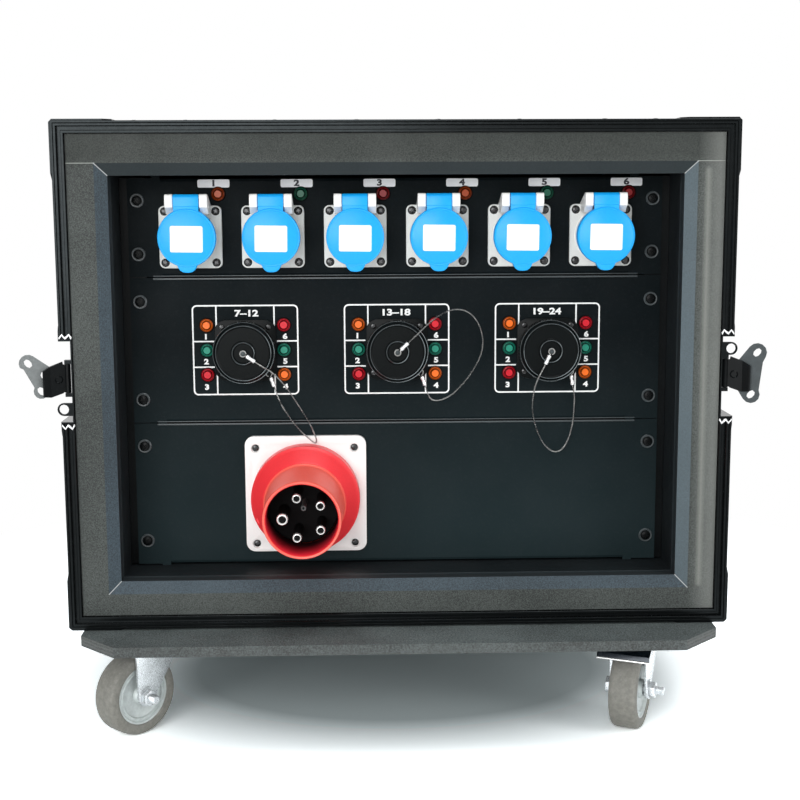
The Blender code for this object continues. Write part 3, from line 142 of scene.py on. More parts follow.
def noise(tree, scale, detail=2.0, stretch=None, roughness=0.5):
    return node(tree, "ShaderNodeTexNoise", {"Vector": object_place(tree, stretch), "Scale": scale,
                                             "Detail": detail, "Roughness": roughness}).outputs["Fac"]


def ramp(tree, value, low, high, to_low=0.0, to_high=1.0):
    return node(tree, "ShaderNodeMapRange", {"Value": value, "From Min": low, "From Max": high,
                                             "To Min": to_low, "To Max": to_high}).outputs[0]


def blend_colours(tree, amount, first, second):
    return node(tree, "ShaderNodeMix", {0: amount, 6: first, 7: second}, data_type="RGBA").outputs[2]


def mixed_shaders(tree, amount, first, second):
    return node(tree, "ShaderNodeMixShader",
                {0: amount, 1: first.outputs[0], 2: second.outputs[0]}).outputs[0]


def share_along(tree, vector, axis):
    return node(tree, "ShaderNodeSeparateXYZ", {"Vector": vector}).outputs[axis]


def place_along(tree, axis):
    return share_along(tree, object_place(tree), axis)


def lean_along(tree, axis):
    return share_along(tree, node(tree, "ShaderNodeNewGeometry").outputs["Normal"], axis)


def fade(tree, axis, low, high, to_low=0.0, to_high=1.0):
    """a ramp along the object, from low to high"""
    return ramp(tree, place_along(tree, axis), low * MM, high * MM, to_low, to_high)


def off_plane(tree, axis, place):
    """distance in metres from the plane at a place along the axis"""
    return maths(tree, "ABSOLUTE", maths(tree, "SUBTRACT", place_along(tree, axis), place * MM))


def slope_share(tree, axis, low, high):
    """0 to 1 as the surface's lean along the axis goes from low to high"""
    return ramp(tree, maths(tree, "ABSOLUTE", lean_along(tree, axis)), low, high)


# Camera, light and floor
def set_camera():
    ahead = Vector((math.sin(YAW) * math.cos(PITCH), math.cos(YAW) * math.cos(PITCH), -math.sin(PITCH)))
    level = Vector((math.cos(YAW), -math.sin(YAW), 0.0))
    above = level.cross(ahead)
    right = math.cos(ROLL) * level + math.sin(ROLL) * above
    up = -math.sin(ROLL) * level + math.cos(ROLL) * above
    lens = bpy.data.cameras.new("camera")
    lens.sensor_width = SENSOR
    lens.lens = SENSOR * FOCAL_PIXELS / PICTURE
    lens.clip_start = 0.01
    lens.clip_end = 50.0
    camera = bpy.data.objects.new("camera", lens)
    bpy.context.scene.collection.objects.link(camera)
    camera.matrix_world = Matrix.Translation(EYE) @ Matrix((right, up, -ahead)).transposed().to_4x4()
    bpy.context.scene.camera = camera


def seen_white(tree):
    """1 for rays of the camera, of mirrors and of glass"""
    path = node(tree, "ShaderNodeLightPath").outputs
    shiny = maths(tree, "MAXIMUM", path["Is Glossy Ray"], path["Is Transmission Ray"])
    return maths(tree, "MAXIMUM", path["Is Camera Ray"], shiny)


def set_light():
    world = bpy.data.worlds.new("studio")
    bpy.context.scene.world = world
    world.use_nodes = True
    tree = world.node_tree
    tree.nodes.clear()
    soft = node(tree, "ShaderNodeBackground", {"Color": (0.93, 0.97, 1.0, 1), "Strength": SOFT_LIGHT})
    white = node(tree, "ShaderNodeBackground", {"Color": (1, 1, 1, 1), "Strength": 1.0})
    node(tree, "ShaderNodeOutputWorld", {"Surface": mixed_shaders(tree, seen_white(tree), soft, white)})
    for name, place, aim, size, power in LIGHTS:
        data = bpy.data.lights.new(name, "AREA")
        data.shape = "RECTANGLE"
        data.size, data.size_y = size
        data.energy = power
        lamp = bpy.data.objects.new(name, data)
        bpy.context.scene.collection.objects.link(lamp)
        lamp.location = place
        lamp.rotation_euler = (Vector(aim) - Vector(place)).to_track_quat("-Z", "Y").to_euler()


def set_floor():
    """white where the camera sees it far away, with a soft dark ellipse of painted shadow under the case"""
    bpy.ops.mesh.primitive_plane_add(size=FLOOR_SIZE)
    floor = bpy.context.object
    floor.name = "floor"
    paint = bpy.data.materials.new("floor_white")
    paint.use_nodes = True
    tree = paint.node_tree
    tree.nodes.clear()
    seen = seen_white(tree)
    distance = length_of(tree, object_place(tree))
    far = maths(tree, "MULTIPLY", ramp(tree, distance, GLOW_FROM, GLOW_FULL), seen)
    # painted shadow: the seen floor is darker inside an ellipse under the case
    under = length_of(tree, object_place(tree, (3.4, 4.6, 1.0), (0.0, 0.1, 0.0)))
    pale = blend_colours(tree, ramp(tree, under, 0.7, 1.2), (0.58, 0.65, 0.66, 1), (2.5, 2.58, 2.60, 1))
    colour = blend_colours(tree, seen, (0.82, 0.83, 0.84, 1), pale)
    matt = node(tree, "ShaderNodeBsdfDiffuse", {"Color": colour})
    glow = node(tree, "ShaderNodeEmission", {"Color": (1, 1, 1, 1), "Strength": 1.0})
    node(tree, "ShaderNodeOutputMaterial", {"Surface": mixed_shaders(tree, far, matt, glow)})
    floor.data.materials.append(paint)


# Shared effects, as shader node groups
def effect(name, inputs, outputs):
    group = bpy.data.node_groups.new(name, "ShaderNodeTree")
    for title, kind, value in inputs:
        socket = group.interface.new_socket(name=title, in_out="INPUT", socket_type="NodeSocket" + kind)
        socket.default_value = value
    for title, kind in outputs:
        group.interface.new_socket(name=title, in_out="OUTPUT", socket_type="NodeSocket" + kind)
    entry = node(group, "NodeGroupInput")
    exit_node = node(group, "NodeGroupOutput")
    return group, entry.outputs, exit_node.inputs


def swung(group, given, out, pattern, height):
    """roughness that swings with a pattern, and the height of the fine relief"""
    swing = ramp(group, pattern, 0.3, 0.7, -1.0, 1.0)
    spread = maths(group, "MULTIPLY", swing, given["Spread"])
    group.links.new(maths(group, "ADD", given["Roughness"], spread), out["Roughness"])
    group.links.new(height, out["Height"])
    return group


def speckle_effect():
    group, given, out = effect("speckle", [
        ("Dark", "Color", (0, 0, 0, 1)), ("Light", "Color", (1, 1, 1, 1)), ("Scale", "Float", 900.0),
        ("Cloud", "Float", 0.3)], [("Color", "Color"), ("Height", "Float")])
    fine = noise(group, given["Scale"], 3.0, roughness=0.65)
    cloud = ramp(group, noise(group, 9.0, 4.0), 0.3, 0.7, -0.5, 0.5)
    drift = maths(group, "MULTIPLY", cloud, given["Cloud"])
    share = maths(group, "ADD", ramp(group, fine, 0.36, 0.68), drift)
    group.links.new(blend_colours(group, share, given["Dark"], given["Light"]), out["Color"])
    group.links.new(fine, out["Height"])
    return group


def grain_effect():
    group, given, out = effect("grain", [
        ("Scale", "Float", 600.0), ("Roughness", "Float", 0.4), ("Spread", "Float", 0.08)],
        [("Roughness", "Float"), ("Height", "Float")])
    return swung(group, given, out, noise(group, 28.0, 3.0), noise(group, given["Scale"], 3.0))


def brushed_effect():
    group, given, out = effect("brushed", [
        ("Stretch", "Vector", (1, 1, 1)), ("Scale", "Float", 700.0), ("Roughness", "Float", 0.3),
        ("Spread", "Float", 0.1)], [("Roughness", "Float"), ("Height", "Float")])
    lines = noise(group, given["Scale"], 3.0, given["Stretch"])
    return swung(group, given, out, lines, lines)


def dust_effect():
    """pale dust, thickest on what faces up"""
    group, given, out = effect("dust", [
        ("Color", "Color", (0, 0, 0, 1)), ("Dust", "Color", (0.5, 0.5, 0.5, 1)),
        ("Amount", "Float", 0.2)], [("Color", "Color")])
    facing = ramp(group, lean_along(group, "Z"), -0.2, 1.0, 0.15, 1.0)
    flecks = ramp(group, noise(group, 420.0, 4.0), 0.54, 0.72)
    haze = ramp(group, noise(group, 22.0, 3.0), 0.35, 0.8)
    share = maths(group, "MULTIPLY", maths(group, "ADD", flecks, haze), facing)
    share = maths(group, "MULTIPLY", share, given["Amount"])
    group.links.new(blend_colours(group, share, given["Color"], given["Dust"]), out["Color"])
    return group


def line_mark_effect():
    """1 on a straight line seen from the front, fading to 0 at its width"""
    group, given, out = effect("line_mark", [
        ("Start", "Vector", (0, 0, 0)), ("End", "Vector", (1, 0, 0)), ("Width", "Float", 0.001)],
        [("Mask", "Float")])

    def vector(operation, first, second, output="Vector"):
        made = node(group, "ShaderNodeVectorMath", {0: first, 1: second}, operation=operation)
        return made.outputs[output]

    flat = vector("MULTIPLY", object_place(group), (1, 0, 1))
    away = vector("SUBTRACT", flat, given["Start"])
    along = vector("SUBTRACT", given["End"], given["Start"])
    share = node(group, "ShaderNodeMath", {0: vector("DOT_PRODUCT", away, along, "Value"),
                                           1: vector("DOT_PRODUCT", along, along, "Value")},
                 operation="DIVIDE", use_clamp=True).outputs[0]
    nearest = node(group, "ShaderNodeVectorMath", {0: along, 3: share}, operation="SCALE").outputs[0]
    gap = vector("DISTANCE", away, nearest, "Value")
    group.links.new(ramp(group, maths(group, "DIVIDE", gap, given["Width"]), 1.0, 0.0), out["Mask"])
    return group


def chips_effect():
    """small broken flecks, thickest where the mask is 1"""
    group, given, out = effect("chips", [
        ("Mask", "Float", 1.0), ("Amount", "Float", 0.5), ("Scale", "Float", 90.0)], [("Mask", "Float")])
    fine = noise(group, given["Scale"], 4.0, roughness=0.6)
    patches = maths(group, "ADD", fine, maths(group, "MULTIPLY", noise(group, 38.0, 2.0), 0.35))
    eager = maths(group, "MULTIPLY", maths(group, "SUBTRACT", given["Mask"], 1.0), 0.16)
    level = maths(group, "ADD", maths(group, "ADD", patches, eager), given["Amount"])
    bitten = ramp(group, level, 1.175, 1.215)
    inside = ramp(group, given["Mask"], 0.0, 0.05)
    group.links.new(maths(group, "MULTIPLY", bitten, inside), out["Mask"])
    return group


SPECKLE = speckle_effect()
GRAIN = grain_effect()
DUST = dust_effect()
BRUSHED = brushed_effect()
LINE_MARK = line_mark_effect()
CHIPS = chips_effect()


# Finishes
def finish(name, metallic=0.0, coat=0.0, level=0.5):
    made = bpy.data.materials.new(name)
    made.use_nodes = True
    shader = made.node_tree.nodes["Principled BSDF"]
    shader.inputs["Metallic"].default_value = metallic
    shader.inputs["Coat Weight"].default_value = coat
    shader.inputs["Coat Roughness"].default_value = 0.12
    shader.inputs["Specular IOR Level"].default_value = level
    return made, made.node_tree


def covered(made, colour, roughness, relief, depth, strength=0.4):
    """the material with its colour, roughness and relief; the depth is in metres"""
    tree = made.node_tree
    raised = node(tree, "ShaderNodeBump", {"Height": relief, "Distance": depth, "Strength": strength})
    shader = tree.nodes["Principled BSDF"]
    for title, socket in (("Base Color", colour), ("Roughness", roughness), ("Normal", raised.outputs[0])):
        tree.links.new(socket, shader.inputs[title])
    return made


def grained(made, colour, scale, roughness, spread, depth, relief=None, strength=0.4):
    """covered with grain, whose own height is the relief where none is given"""
    skin = grouped(made.node_tree, GRAIN, {"Scale": scale, "Roughness": roughness, "Spread": spread})
    relief = skin.outputs["Height"] if relief is None else relief
    return covered(made, colour, skin.outputs["Roughness"], relief, depth, strength)


def speckled(tree, dark, light, scale, cloud):
    return grouped(tree, SPECKLE, {"Dark": (*dark, 1), "Light": (*light, 1), "Scale": scale,
                                   "Cloud": cloud}).outputs


def dusted(tree, colour, amount):
    return grouped(tree, DUST, {"Color": colour, "Amount": amount}).outputs["Color"]


def chipped(tree, mask, amount, scale):
    return grouped(tree, CHIPS, {"Mask": mask, "Amount": amount, "Scale": scale}).outputs["Mask"]


def shaded(colour, share):
    return tuple(c * share for c in colour)


def plain_finish(name, colour, roughness, metallic=0.0, coat=0.0, dust=0.0, grain=500.0, depth=0.00002,
                 shade=0.85, level=0.5):
    """moulded or painted: a colour with slight drift, fine grain and a little dust"""
    made, tree = finish(name, metallic, coat, level)
    tone = speckled(tree, shaded(colour, shade), colour, grain, 0.5)
    return grained(made, dusted(tree, tone["Color"], dust), grain, roughness, 0.05, depth)


def metal_finish(name, colour, roughness, stretch, metallic, dust):
    made, tree = finish(name, metallic)
    lines = grouped(tree, BRUSHED, {"Stretch": stretch, "Roughness": roughness, "Spread": 0.08}).outputs
    tone = speckled(tree, shaded(colour, 0.8), colour, 160.0, 0.6)
    return covered(made, dusted(tree, tone["Color"], dust), lines["Roughness"], lines["Height"], 0.00001)


def line_mask(tree, x0, z0, x1, z1, width):
    return grouped(tree, LINE_MARK, {"Start": (x0 * MM, 0, z0 * MM), "End": (x1 * MM, 0, z1 * MM),
                                     "Width": width * MM}).outputs["Mask"]


def marked(tree, colour, marks, paint):
    """pale lines (x, z, x, z, width, chips) worn into a colour; chips of None is a whole line"""
    for *line, chips in marks:
        mask = line_mask(tree, *line)
        share = ramp(tree, mask, 0.15, 0.6) if chips is None else chipped(tree, mask, chips, 520.0)
        colour = blend_colours(tree, share, colour, paint)
    return colour


def side_finish():
    """speckled board facing"""
    made, tree = finish("side_laminate", level=0.3)
    tone = speckled(tree, (0.012, 0.014, 0.015), (0.064, 0.070, 0.071), 900.0, 0.55)
    return grained(made, dusted(tree, tone["Color"], 0.10), 900.0, 0.6, 0.06, 0.00010, tone["Height"])


def face_finish():
    """front face: olive grey laminate, slate bevel, dark inner wall, chips and scratches; painted shade on
    the top and the downward bevel, painted light on the right and the left-facing bevel, and a painted
    glint
    """
    made, tree = finish("face_laminate", level=0.3)
    facing = speckled(tree, (0.012, 0.015, 0.014), (0.080, 0.091, 0.085), 1150.0, 0.45)
    bevel = speckled(tree, (0.016, 0.025, 0.031), (0.050, 0.072, 0.088), 1000.0, 0.5)
    wide = OPENING_HALF + BEVEL
    foot, head = OPENING_LOW - BEVEL, OPENING_HIGH + BEVEL
    rim = CASE_HALF - 10
    colour = marked(tree, facing["Color"], [
        (wide - 1, head, rim, head, 0.5, None), (-rim, head, 1 - wide, head, 0.5, None),
        (176.6, 138.5, 121.4, 119.8, 0.45, 0.16), (-260.0, 125.9, -251.7, 133.1, 0.9, 0.22),
        (-249.5, 133.8, -239.7, 137.4, 0.9, 0.20), (-254.5, 128.7, -250.6, 131.6, 0.8, 0.18)],
        (0.34, 0.36, 0.33, 1))
    # painted shade darkens the face above the opening, and painted light brightens its right strip
    for share, shade in ((fade(tree, "Z", head - 6, head + 6, 0.0, 0.50), (0.010, 0.013, 0.010, 1)),
                         (fade(tree, "X", wide, rim, 0.0, 0.40), (0.30, 0.31, 0.29, 1))):
        colour = blend_colours(tree, share, colour, shade)
    slate = bevel["Color"]
    # painted shade on the bevel that faces down, and painted light on the bevel that faces left
    for axis, most, shade in (("Z", 0.86, (0.008, 0.013, 0.014, 1)), ("X", 0.32, (0.17, 0.22, 0.24, 1))):
        slate = blend_colours(tree, ramp(tree, lean_along(tree, axis), -0.2, -0.4, 0.0, most), slate, shade)
    colour = blend_colours(tree, slope_share(tree, "Y", 0.97, 0.93), colour, slate)
    colour = marked(tree, colour, [
        (-wide, foot, -wide, head, 3.0, 0.24), (wide, foot, wide, head, 2.2, 0.15),
        (-wide, head, wide, head, 2.0, 0.15), (-wide, foot, wide, foot, 1.8, 0.13)], (0.52, 0.56, 0.56, 1))
    colour = marked(tree, colour, [
        (side * OPENING_HALF, z0, side * wide, z1, 0.6, None)
        for side in (-1, 1) for z0, z1 in ((OPENING_LOW, foot), (OPENING_HIGH, head))],
        (0.36, 0.38, 0.38, 1))
    colour = blend_colours(tree, slope_share(tree, "Y", 0.6, 0.4), colour, (0.012, 0.016, 0.018, 1))
    # a painted glint: a pale streak down the face beside the right bevel
    painted_glint = line_mask(tree, wide + 9, head - 8, wide + 10, foot + 4, 4)
    colour = blend_colours(tree, maths(tree, "MULTIPLY", painted_glint, 0.5), colour, (0.25, 0.26, 0.235, 1))
    return grained(made, colour, 1150.0, 0.6, 0.06, 0.00008, facing["Height"])


def sleeve_finish():
    """inner sleeve: near black, with the pale layers of its sawn front end"""
    made, tree = finish("sleeve_laminate", level=0.25)
    tone = speckled(tree, (0.003, 0.004, 0.005), (0.013, 0.018, 0.020), 900.0, 0.5)
    colour = blend_colours(tree, fade(tree, "Y", FRONT_Y + 24, FRONT_Y + 22.5), tone["Color"],
                           (0.020, 0.027, 0.030, 1))
    for step in (17.0, 22.6):
        near = ramp(tree, off_plane(tree, "Y", FRONT_Y + step), 0.5 * MM, 0.2 * MM, 0.0, 0.8)
        colour = blend_colours(tree, near, colour, (0.11, 0.13, 0.14, 1))
    return grained(made, colour, 900.0, 0.5, 0.06, 0.00008, tone["Height"])


def board_finish():
    """wheel board: speckled faces, ply layers on the cut corners, chips along the edge lines"""
    made, tree = finish("board_laminate")
    tone = speckled(tree, (0.009, 0.011, 0.011), (0.155, 0.186, 0.184), 760.0, 0.45)
    wobble = ramp(tree, noise(tree, 60.0, 3.0), 0.3, 0.7, -0.4 * MM, 0.4 * MM)
    layers = maths(tree, "MULTIPLY", maths(tree, "ADD", place_along(tree, "Z"), wobble), TURN / (3 * MM))
    ply = ramp(tree, maths(tree, "SINE", layers), -0.2, 0.6, 0.0, 0.55)
    upright = slope_share(tree, "Z", 0.5, 0.3)
    slant = maths(tree, "MULTIPLY", lean_along(tree, "X"), lean_along(tree, "Y"))
    slanted = ramp(tree, maths(tree, "ABSOLUTE", slant), 0.1, 0.3)
    cut = maths(tree, "MULTIPLY", upright, slanted)
    top = maths(tree, "MULTIPLY", fade(tree, "Z", BOARD_HIGH - 1.6, BOARD_HIGH - 0.2), upright)
    foot = maths(tree, "MULTIPLY", fade(tree, "Z", BOARD_LOW + 5.5, BOARD_LOW - 0.1), upright)
    side = maths(tree, "MULTIPLY", foot, fade(tree, "X", -50, 150))
    corner = maths(tree, "MULTIPLY", side, ramp(tree, off_plane(tree, "X", 168), 24 * MM, 6 * MM))
    colour = tone["Color"]
    for share, shade in ((maths(tree, "MULTIPLY", ply, cut), (0.20, 0.20, 0.19, 1)),
                         (maths(tree, "MULTIPLY", upright, 0.55), (0.014, 0.015, 0.013, 1)),
                         (chipped(tree, top, 0.17, 230.0), (0.56, 0.58, 0.56, 1)),
                         (chipped(tree, side, 0.27, 300.0), (0.115, 0.105, 0.062, 1)),
                         (chipped(tree, corner, 0.29, 150.0), (0.40, 0.39, 0.31, 1))):
        colour = blend_colours(tree, share, colour, shade)
    return grained(made, colour, 700.0, 0.62, 0.06, 0.00015, tone["Height"], 0.5)


def panel_finish():
    """rack panels: black powder coat, paler towards the bottom with a painted reflection of the floor"""
    made, tree = finish("panel_coat", level=0.05)
    tone = speckled(tree, (0.0020, 0.0042, 0.0052), (0.0034, 0.0066, 0.0080), 1400.0, 0.5)
    # painted reflection: the coat grows paler towards the bottom
    haze = fade(tree, "Z", STACK_TOP - 150, STACK_TOP - 330, 0.0, 0.95)
    colour = blend_colours(tree, haze, tone["Color"], (0.0125, 0.0225, 0.0250, 1))
    return grained(made, dusted(tree, colour, 0.02), 1400.0, 0.5, 0.05, 0.00002)


def bore_finish():
    """inside of the red tube: painted shade, dark towards the carrier"""
    made, tree = finish("red_bore", coat=0.1)
    colour = blend_colours(tree, fade(tree, "Y", PANEL_Y - 66, PANEL_Y - 99), (0.030, 0.001, 0.004, 1),
                           (0.80, 0.020, 0.040, 1))
    return grained(made, colour, 500.0, 0.45, 0.05, 0.00002)


def lens_finish(name, colour):
    """bright and glowing most where the lens faces the front, with painted shade on its chamfer"""
    made, tree = finish(name, level=0.3)
    front = ramp(tree, lean_along(tree, "Y"), -0.80, -0.95)
    mixed = blend_colours(tree, front, (*shaded(colour, 0.22), 1), (*colour, 1))
    shader = tree.nodes["Principled BSDF"]
    tree.links.new(mixed, shader.inputs["Base Color"])
    tree.links.new(mixed, shader.inputs["Emission Color"])
    shader.inputs["Emission Strength"].default_value = 0.05
    shader.inputs["Roughness"].default_value = 0.3
    return made


EVEN = (1, 1, 1)
FACE = face_finish()
SIDES = side_finish()
INSIDE = sleeve_finish()
BOARD = board_finish()
PANEL_COAT = panel_finish()
RED_BORE = bore_finish()
ANODISED = metal_finish("black_anodised", (0.0105, 0.0130, 0.0138), 0.22, (1, 1, 20), 0.9, 0.02)
BARE_CUT = metal_finish("bare_aluminium", (0.93, 0.94, 0.94), 0.35, EVEN, 0.15, 0.0)
RIM_BLACK = metal_finish("polished_rim", (0.080, 0.092, 0.096), 0.18, EVEN, 0.9, 0.0)
ZINC = metal_finish("bright_zinc", (0.74, 0.77, 0.79), 0.28, (1, 1, 6), 0.6, 0.0)
HUB = metal_finish("dull_zinc", (0.62, 0.67, 0.66), 0.42, (1, 1, 4), 0.2, 0.02)
NICKEL = metal_finish("nickel", (0.90, 0.90, 0.88), 0.22, EVEN, 0.7, 0.0)
WIRE = metal_finish("wire_rope", (0.34, 0.34, 0.33), 0.34, EVEN, 0.9, 0.0)
CRIMP = metal_finish("crimp_sleeve", (0.86, 0.87, 0.87), 0.30, EVEN, 0.7, 0.0)
# the two latch wings are one part: latch_grey on the left wing carries painted light, latch_slate on the
# right wing painted shade
LATCH_GREY = metal_finish("latch_grey", (0.19, 0.205, 0.205), 0.45, EVEN, 0.6, 0.04)
LATCH_SLATE = metal_finish("latch_slate", (0.034, 0.043, 0.046), 0.45, EVEN, 0.5, 0.04)
SCREW_BLACK = metal_finish("screw_black", (0.055, 0.056, 0.057), 0.20, EVEN, 0.9, 0.0)
# painted highlight: the panels' black coat drawn much lighter, for the fold beads and the washer rings
SHEEN_COAT = plain_finish("sheen_coat", (0.050, 0.062, 0.066), 0.36, grain=1400.0, shade=0.8)
GAP_BLACK = plain_finish("gap_black", (0.0015, 0.0018, 0.002), 0.9, shade=0.8, level=0.1)
WHITE_MOULD = plain_finish("white_moulding", (0.88, 0.88, 0.86), 0.36, shade=0.98, coat=0.1)
BLUE_MOULD = plain_finish("blue_moulding", (0.008, 0.395, 0.92), 0.36, shade=0.95, level=0.35)
RED_MOULD = plain_finish("red_moulding", (0.88, 0.038, 0.048), 0.38, coat=0.1, shade=0.95)
# painted light: a lighter, pinker copy of the shroud's red moulding for its tube
SHEENED_RED_TUBE = plain_finish("red_tube_sheen", (0.94, 0.125, 0.090), 0.42, coat=0.1, shade=0.95)
BLACK_MOULD = plain_finish("black_moulding", (0.0030, 0.0045, 0.0048), 0.28, shade=0.75, grain=700.0,
                           depth=0.00003, level=0.07)
CORE_BLACK = plain_finish("core_black", (0.0015, 0.0012, 0.0015), 0.7, shade=0.8, level=0.12)
LATCH_BLACK = plain_finish("latch_black", (0.0034, 0.0045, 0.0050), 0.34, shade=0.7, dust=0.01, level=0.1)
PEDAL = plain_finish("pedal_black", (0.008, 0.014, 0.022), 0.14, metallic=0.6, coat=0.4, shade=0.8)
TYRE = plain_finish("tyre_rubber", (0.25, 0.245, 0.215), 0.72, grain=260.0, depth=0.00008, shade=0.74,
                    dust=0.2)
PRINT = plain_finish("white_print", (0.88, 0.89, 0.88), 0.5, shade=0.97)
# partly the flange's own greyer tone, partly painted shade from the lids
FLANGE_WHITE = plain_finish("flange_white", (0.66, 0.675, 0.65), 0.4, shade=0.97)
LABEL = plain_finish("label_sheet", (0.90, 0.91, 0.92), 0.4, shade=0.985)
INK = plain_finish("label_ink", (0.02, 0.02, 0.03), 0.5)
LENSES = {name: lens_finish(f"lens_{name}", colour) for name, colour in (
    ("orange", (0.86, 0.150, 0.008)), ("green", (0.010, 0.26, 0.17)), ("red", (0.62, 0.006, 0.020)),
    ("dim_orange", (0.42, 0.055, 0.004)), ("dim_green", (0.006, 0.11, 0.060)),
    ("dim_red", (0.25, 0.003, 0.006)))}


# Modelling tools
def shift(x, y, z):
    return Matrix.Translation((x * MM, y * MM, z * MM))


def quarter(axis, way=1):
    return Matrix.Rotation(way * math.pi / 2, 4, axis)


def on_panel(x, z):
    """device place: local X right, Y up, Z out of the rack panels"""
    return shift(x, PANEL_Y, z) @ quarter("X")


# Takes a sheet's X and Y to Y and Z, and its thickness to X
SIDEWAYS = Matrix(((0, 0, 1, 0), (1, 0, 0, 0), (0, 1, 0, 0), (0, 0, 0, 1)))


def deselect():
    if bpy.context.object is not None and bpy.context.object.mode != "OBJECT":
        bpy.ops.object.mode_set(mode="OBJECT")
    bpy.ops.object.select_all(action="DESELECT")


def take(*pieces):
    """selects the pieces alone, with the first one active"""
    deselect()
    for piece in pieces:
        piece.select_set(True)
    bpy.context.view_layer.objects.active = pieces[0]


def edit():
    bpy.ops.object.mode_set(mode="EDIT")


def done():
    bpy.ops.object.mode_set(mode="OBJECT")
    return bpy.context.object


def pick(kind, test):
    """selects the faces, edges or points of the edited mesh that pass the test"""
    bpy.context.tool_settings.mesh_select_mode = (kind == "verts", kind == "edges", kind == "faces")
    bpy.ops.mesh.select_all(action="DESELECT")
    shape = bmesh.from_edit_mesh(bpy.context.edit_object.data)
    for item in getattr(shape, kind):
        if test(item):
            item.select_set(True)
    shape.select_flush_mode()
    bmesh.update_edit_mesh(bpy.context.edit_object.data)


def trace(points):
    """draws a line of points by extruding one after another, and stays in edit mode"""
    points = [[value * MM for value in point] for point in points]
    deselect()
    bpy.ops.mesh.primitive_plane_add(size=MM)
    edit()
    bpy.context.tool_settings.mesh_select_mode = (True, False, False)
    bpy.ops.mesh.select_all(action="SELECT")
    bpy.ops.mesh.merge(type="CENTER")
    bpy.ops.transform.translate(value=points[0])
    for last, spot in zip(points, points[1:]):
        step = [b - a for a, b in zip(last, spot)]
        bpy.ops.mesh.extrude_region_move(TRANSFORM_OT_translate={"value": step})
    bpy.ops.mesh.select_all(action="SELECT")


def smooth(piece, angle=32):
    take(piece)
    bpy.ops.object.shade_smooth_by_angle(angle=math.radians(angle))
    return piece


def turned(profile, steps):
    """spins a profile of (radius, height) round Z"""
    trace([(radius, 0.0, height) for radius, height in profile])
    bpy.ops.mesh.spin(steps=steps, angle=TURN, center=(0, 0, 0), axis=(0, 0, 1))
    bpy.ops.mesh.select_all(action="SELECT")
    bpy.ops.mesh.remove_doubles(threshold=0.00001)
    bpy.ops.mesh.normals_make_consistent(inside=False)
    return smooth(done())


def cut_sheet(outline, low, high):
    """a flat outline in X and Y, filled and extruded from low to high"""
    trace([(x, y, low) for x, y in outline])
    bpy.ops.mesh.edge_face_add()
    bpy.ops.mesh.select_all(action="SELECT")
    bpy.ops.mesh.extrude_region_move(TRANSFORM_OT_translate={"value": (0, 0, high * MM - low * MM)})
    bpy.ops.mesh.select_all(action="SELECT")
    bpy.ops.mesh.normals_make_consistent(inside=False)
    return done()


def block(low, high):
    deselect()
    size = [b * MM - a * MM for a, b in zip(low, high)]
    centre = [(a * MM + b * MM) / 2 for a, b in zip(low, high)]
    bpy.ops.mesh.primitive_cube_add(size=1.0, location=centre, scale=size)
    bpy.ops.object.transform_apply(location=True, rotation=True, scale=True)
    return bpy.context.object


def bevel_edges(piece, width, segments, test):
    """rounds the edges that pass the test"""
    take(piece)
    edit()
    pick("edges", test)
    bpy.ops.mesh.bevel(offset=width * MM, segments=segments, affect="EDGES")
    done()
    return piece


def rounded_block(width, height, low, high, radius, segments=8):
    """a plate round the origin with round corners seen from above"""
    made = block((-width / 2, -height / 2, low), (width / 2, height / 2, high))
    return bevel_edges(made, radius, segments, lambda e:
                       abs(e.verts[0].co.z - e.verts[1].co.z) > 0.9 * (high - low) * MM)


def modified(piece, kind, **settings):
    """adds a modifier and applies it"""
    step = piece.modifiers.new(kind.lower(), kind)
    for key, value in settings.items():
        setattr(step, key, value)
    take(piece)
    bpy.ops.object.modifier_apply(modifier=step.name)
    return piece


def eased(piece, width, segments=3, angle=40):
    """rounds the edges sharper than the angle, and shades smooth"""
    modified(piece, "BEVEL", width=width * MM, segments=segments, limit_method="ANGLE",
             angle_limit=math.radians(angle))
    return smooth(piece)


def carve(piece, tool):
    modified(piece, "BOOLEAN", operation="DIFFERENCE", solver="EXACT", object=tool)
    bpy.data.objects.remove(tool, do_unlink=True)
    return piece


def painted(piece, paint):
    piece.data.materials.clear()
    piece.data.materials.append(paint)
    return piece


def moved(piece, place):
    piece.data.transform(place)
    return piece


def copied(piece, place=None):
    made = piece.copy()
    made.data = piece.data.copy()
    bpy.context.scene.collection.objects.link(made)
    return made if place is None else moved(made, place)


def joined(*pieces):
    take(*pieces)
    if len(pieces) > 1:
        bpy.ops.object.join()
    return bpy.context.object


def discard(*pieces):
    for piece in pieces:
        bpy.data.objects.remove(piece, do_unlink=True)


def spread_out(piece, places):
    copies = [copied(piece, place) for place in places]
    discard(piece)
    return joined(*copies)


def settle(piece, name, body, slot, *stands_for):
    piece.name = name
    piece.data.name = name
    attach(piece, body)
    if stands_for:
        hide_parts(*stands_for)
    return piece


def screw_head(radius, height, paint):
    """a domed head with a cross slot"""
    head = turned([(0.0, height), (radius * 0.45, height), (radius * 0.85, height * 0.72),
                   (radius, height * 0.25), (radius, 0.0), (0.0, 0.0)], 24)
    reach, slot_half = radius * 0.58, radius * 0.11
    for x, y in ((reach, slot_half), (slot_half, reach)):
        carve(head, block((-x, -y, height * 0.35), (x, y, height * 2)))
    return painted(smooth(head, 30), paint)


LETTER_THICK = 0.12


